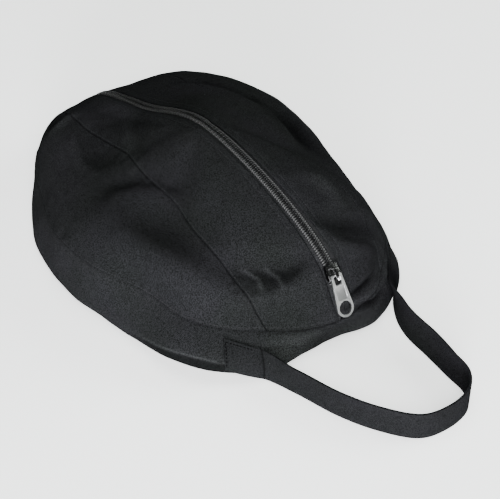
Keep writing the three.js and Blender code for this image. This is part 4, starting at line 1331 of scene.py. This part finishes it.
loop, across, along = flat_grid("webbing_loop", len(ACROSS) - 1, len(lines) - 1)
rows = np.rint(along * (len(lines) - 1)).astype(int)
columns = np.rint(across * (len(ACROSS) - 1)).astype(int)
move_corners(loop, lines[rows, columns])
row_lengths = lengths_along(lines[:, 6])
cloth_uv(loop, across * WEBBING_WIDTH, row_lengths[rows])
leaving, behind = row_lengths[len(left_sewn) - 1], row_lengths[-1] - WEBBING_SEWN
crease = bell(row_lengths[rows] - leaving, CREASE_WIDTH)
tucked = bell(row_lengths[rows] - behind, TUCKED_WIDTH)
paint_shade(loop, WEBBING_PAINTED_LIGHT * (1 - CREASE_SHADE * crease) * (1 - TUCKED_SHADE * tucked))
thicken(loop, WEBBING_THICKNESS, offset=0)
webbing_look = twill_look("black_webbing", (0.0036, 0.0036, 0.0038), (0.0112, 0.0114, 0.012))
belongs(loop, "bag", "black_webbing", webbing_look, "handle_strap")

# %% [markdown]
# ## Stitches
# Small stitches run beside the zip, along the seams and round the sewn ends of the webbing. They
# could be painted, but a stitch dips at both ends and catches light of its own. One stitch is a
# small ball drawn out along the seam, with few faces, and it is copied along each line of sewing.

# %% One stitch
thread_look = twill_look("black_thread", (0.01, 0.01, 0.0105), (0.026, 0.026, 0.027))
bpy.ops.object.select_all(action="DESELECT")
bpy.ops.mesh.primitive_uv_sphere_add(
    segments=6, ring_count=4, radius=0.5, rotation=(0, math.pi / 2, 0)
)
ball = bpy.context.object
bpy.ops.object.transform_apply(rotation=True)
STITCH = corners_of(ball)
STITCH_FACES = [list(face.vertices) for face in ball.data.polygons]
bpy.data.objects.remove(ball)
print("corners of one stitch", len(STITCH))

# %% A row of stitches
STITCH_LENGTH, STITCH_PITCH, STITCH_WIDTH, STITCH_FLATNESS = 0.0021, 0.0029, 0.00045, 0.8
# A short step along the seam, to see which way it runs.
LOOK_AHEAD = 0.0002


def stitches(name, points, normals, shade=1.0, width=STITCH_WIDTH):
    """Stitches along a row of close points, one piece for the whole row."""
    lengths = lengths_along(points)
    count = int(lengths[-1] / STITCH_PITCH)
    starts = (np.arange(count) + 0.15) * STITCH_PITCH
    places = (starts[:, None] + (STITCH[None, :, 0] + 0.5) * STITCH_LENGTH).ravel()
    centre = points_at(places, lengths, points)
    normal = unit(points_at(places, lengths, normals))
    before = points_at(places - LOOK_AHEAD, lengths, points)
    after = points_at(places + LOOK_AHEAD, lengths, points)
    side = np.cross(normal, unit(after - before))
    y = np.tile(STITCH[:, 1], count)[:, None] * width
    z = np.tile(STITCH[:, 2], count)[:, None] * width * STITCH_FLATNESS
    corners = centre + side * y + normal * z
    faces = [[i + k * len(STITCH) for i in face] for k in range(count) for face in STITCH_FACES]
    mesh = bpy.data.meshes.new(name)
    mesh.from_pydata(corners.tolist(), [], faces)
    piece = bpy.data.objects.new(name, mesh)
    bpy.context.collection.objects.link(piece)
    paint_shade(piece, shade * np.ones(len(mesh.vertices)))
    only(piece)
    bpy.ops.object.shade_smooth()
    belongs(piece, "bag", "black_twill", thread_look)


print("stitches in a metre", round(1 / STITCH_PITCH))

# %% Stitches of the zip and the panels
# These rows stop just short of the band, and the row over the band stays just inside its seam.
SEWN_FROM_SEAM, ROW_END, OVER_BAND = 0.0016, 0.985, 0.984
line_v = np.linspace(-ROW_END, ROW_END, 700)
for side, sign in SIDES:
    u = sign * (opening_at(sign, line_v) + TOPSTITCH) / span_across(0 * line_v, line_v)
    stitches("zip_stitches_" + side, cloth_place(u, line_v), shell_normal(u, line_v))
    u = sign * (seam_u(line_v) - SEWN_FROM_SEAM / span_across(sign * seam_u(line_v), line_v))
    stitches("panel_stitches_" + side, cloth_place(u, line_v), shell_normal(u, line_v))


# %% Stitches over the band
def square_place(turn, step):
    """The place u, v on the cloth for a direction and step, which undoes disc_place."""
    x, y = -np.sin(np.radians(turn)) * step, -np.cos(np.radians(turn)) * step
    a, b = x * x - y * y, 2 * math.sqrt(2)
    u = 0.5 * (np.sqrt(np.maximum(2 + a + b * x, 0)) - np.sqrt(np.maximum(2 + a - b * x, 0)))
    v = 0.5 * (np.sqrt(np.maximum(2 - a + b * y, 0)) - np.sqrt(np.maximum(2 - a - b * y, 0)))
    return u, v


u, v = square_place(np.linspace(0, 360, 1441), OVER_BAND)
stitches("band_stitches", cloth_place(u, v), shell_normal(u, v))

# %% Stitches of the webbing
# The bar of stitches near the webbing's end is thicker than the row along its upper edge, and both
# are as dark as the webbing itself.
BAR_WIDTH, EDGE_WIDTH, SEWN_SHADE, STITCH_STAND = 0.0011, 0.0009, 0.1, 0.0001
for side, block in (("left", left_sewn), ("right", right_sewn[::-1])):
    end_row = block[1]
    facing = unit(np.cross(block[2, 6] - block[0, 6], end_row[-1] - end_row[0]))
    facing = facing if facing @ ground(block[0, 6]) > 0 else -facing
    stand = facing * (WEBBING_THICKNESS / 2 + STITCH_STAND)
    bar, edge = end_row[1:-1][::-1] + stand, block[1:-4, -2] + stand
    bar_normals, edge_normals = np.tile(facing, (len(bar), 1)), np.tile(facing, (len(edge), 1))
    stitches("webbing_end_stitches_" + side, bar, bar_normals, SEWN_SHADE, BAR_WIDTH)
    stitches("webbing_top_stitches_" + side, edge, edge_normals, SEWN_SHADE, EDGE_WIDTH)

# %% [markdown]
# ## Check the CAD nodes and finish
# A dressed part has to stay as large as its CAD model, because other parts are placed against it.
# Every CAD node has been replaced here, and the loop would name one that still showed its plain
# look.

# %% Close the lesson
for name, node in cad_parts.items():
    if not node.hide_render:
        print("CAD node still plain", name)
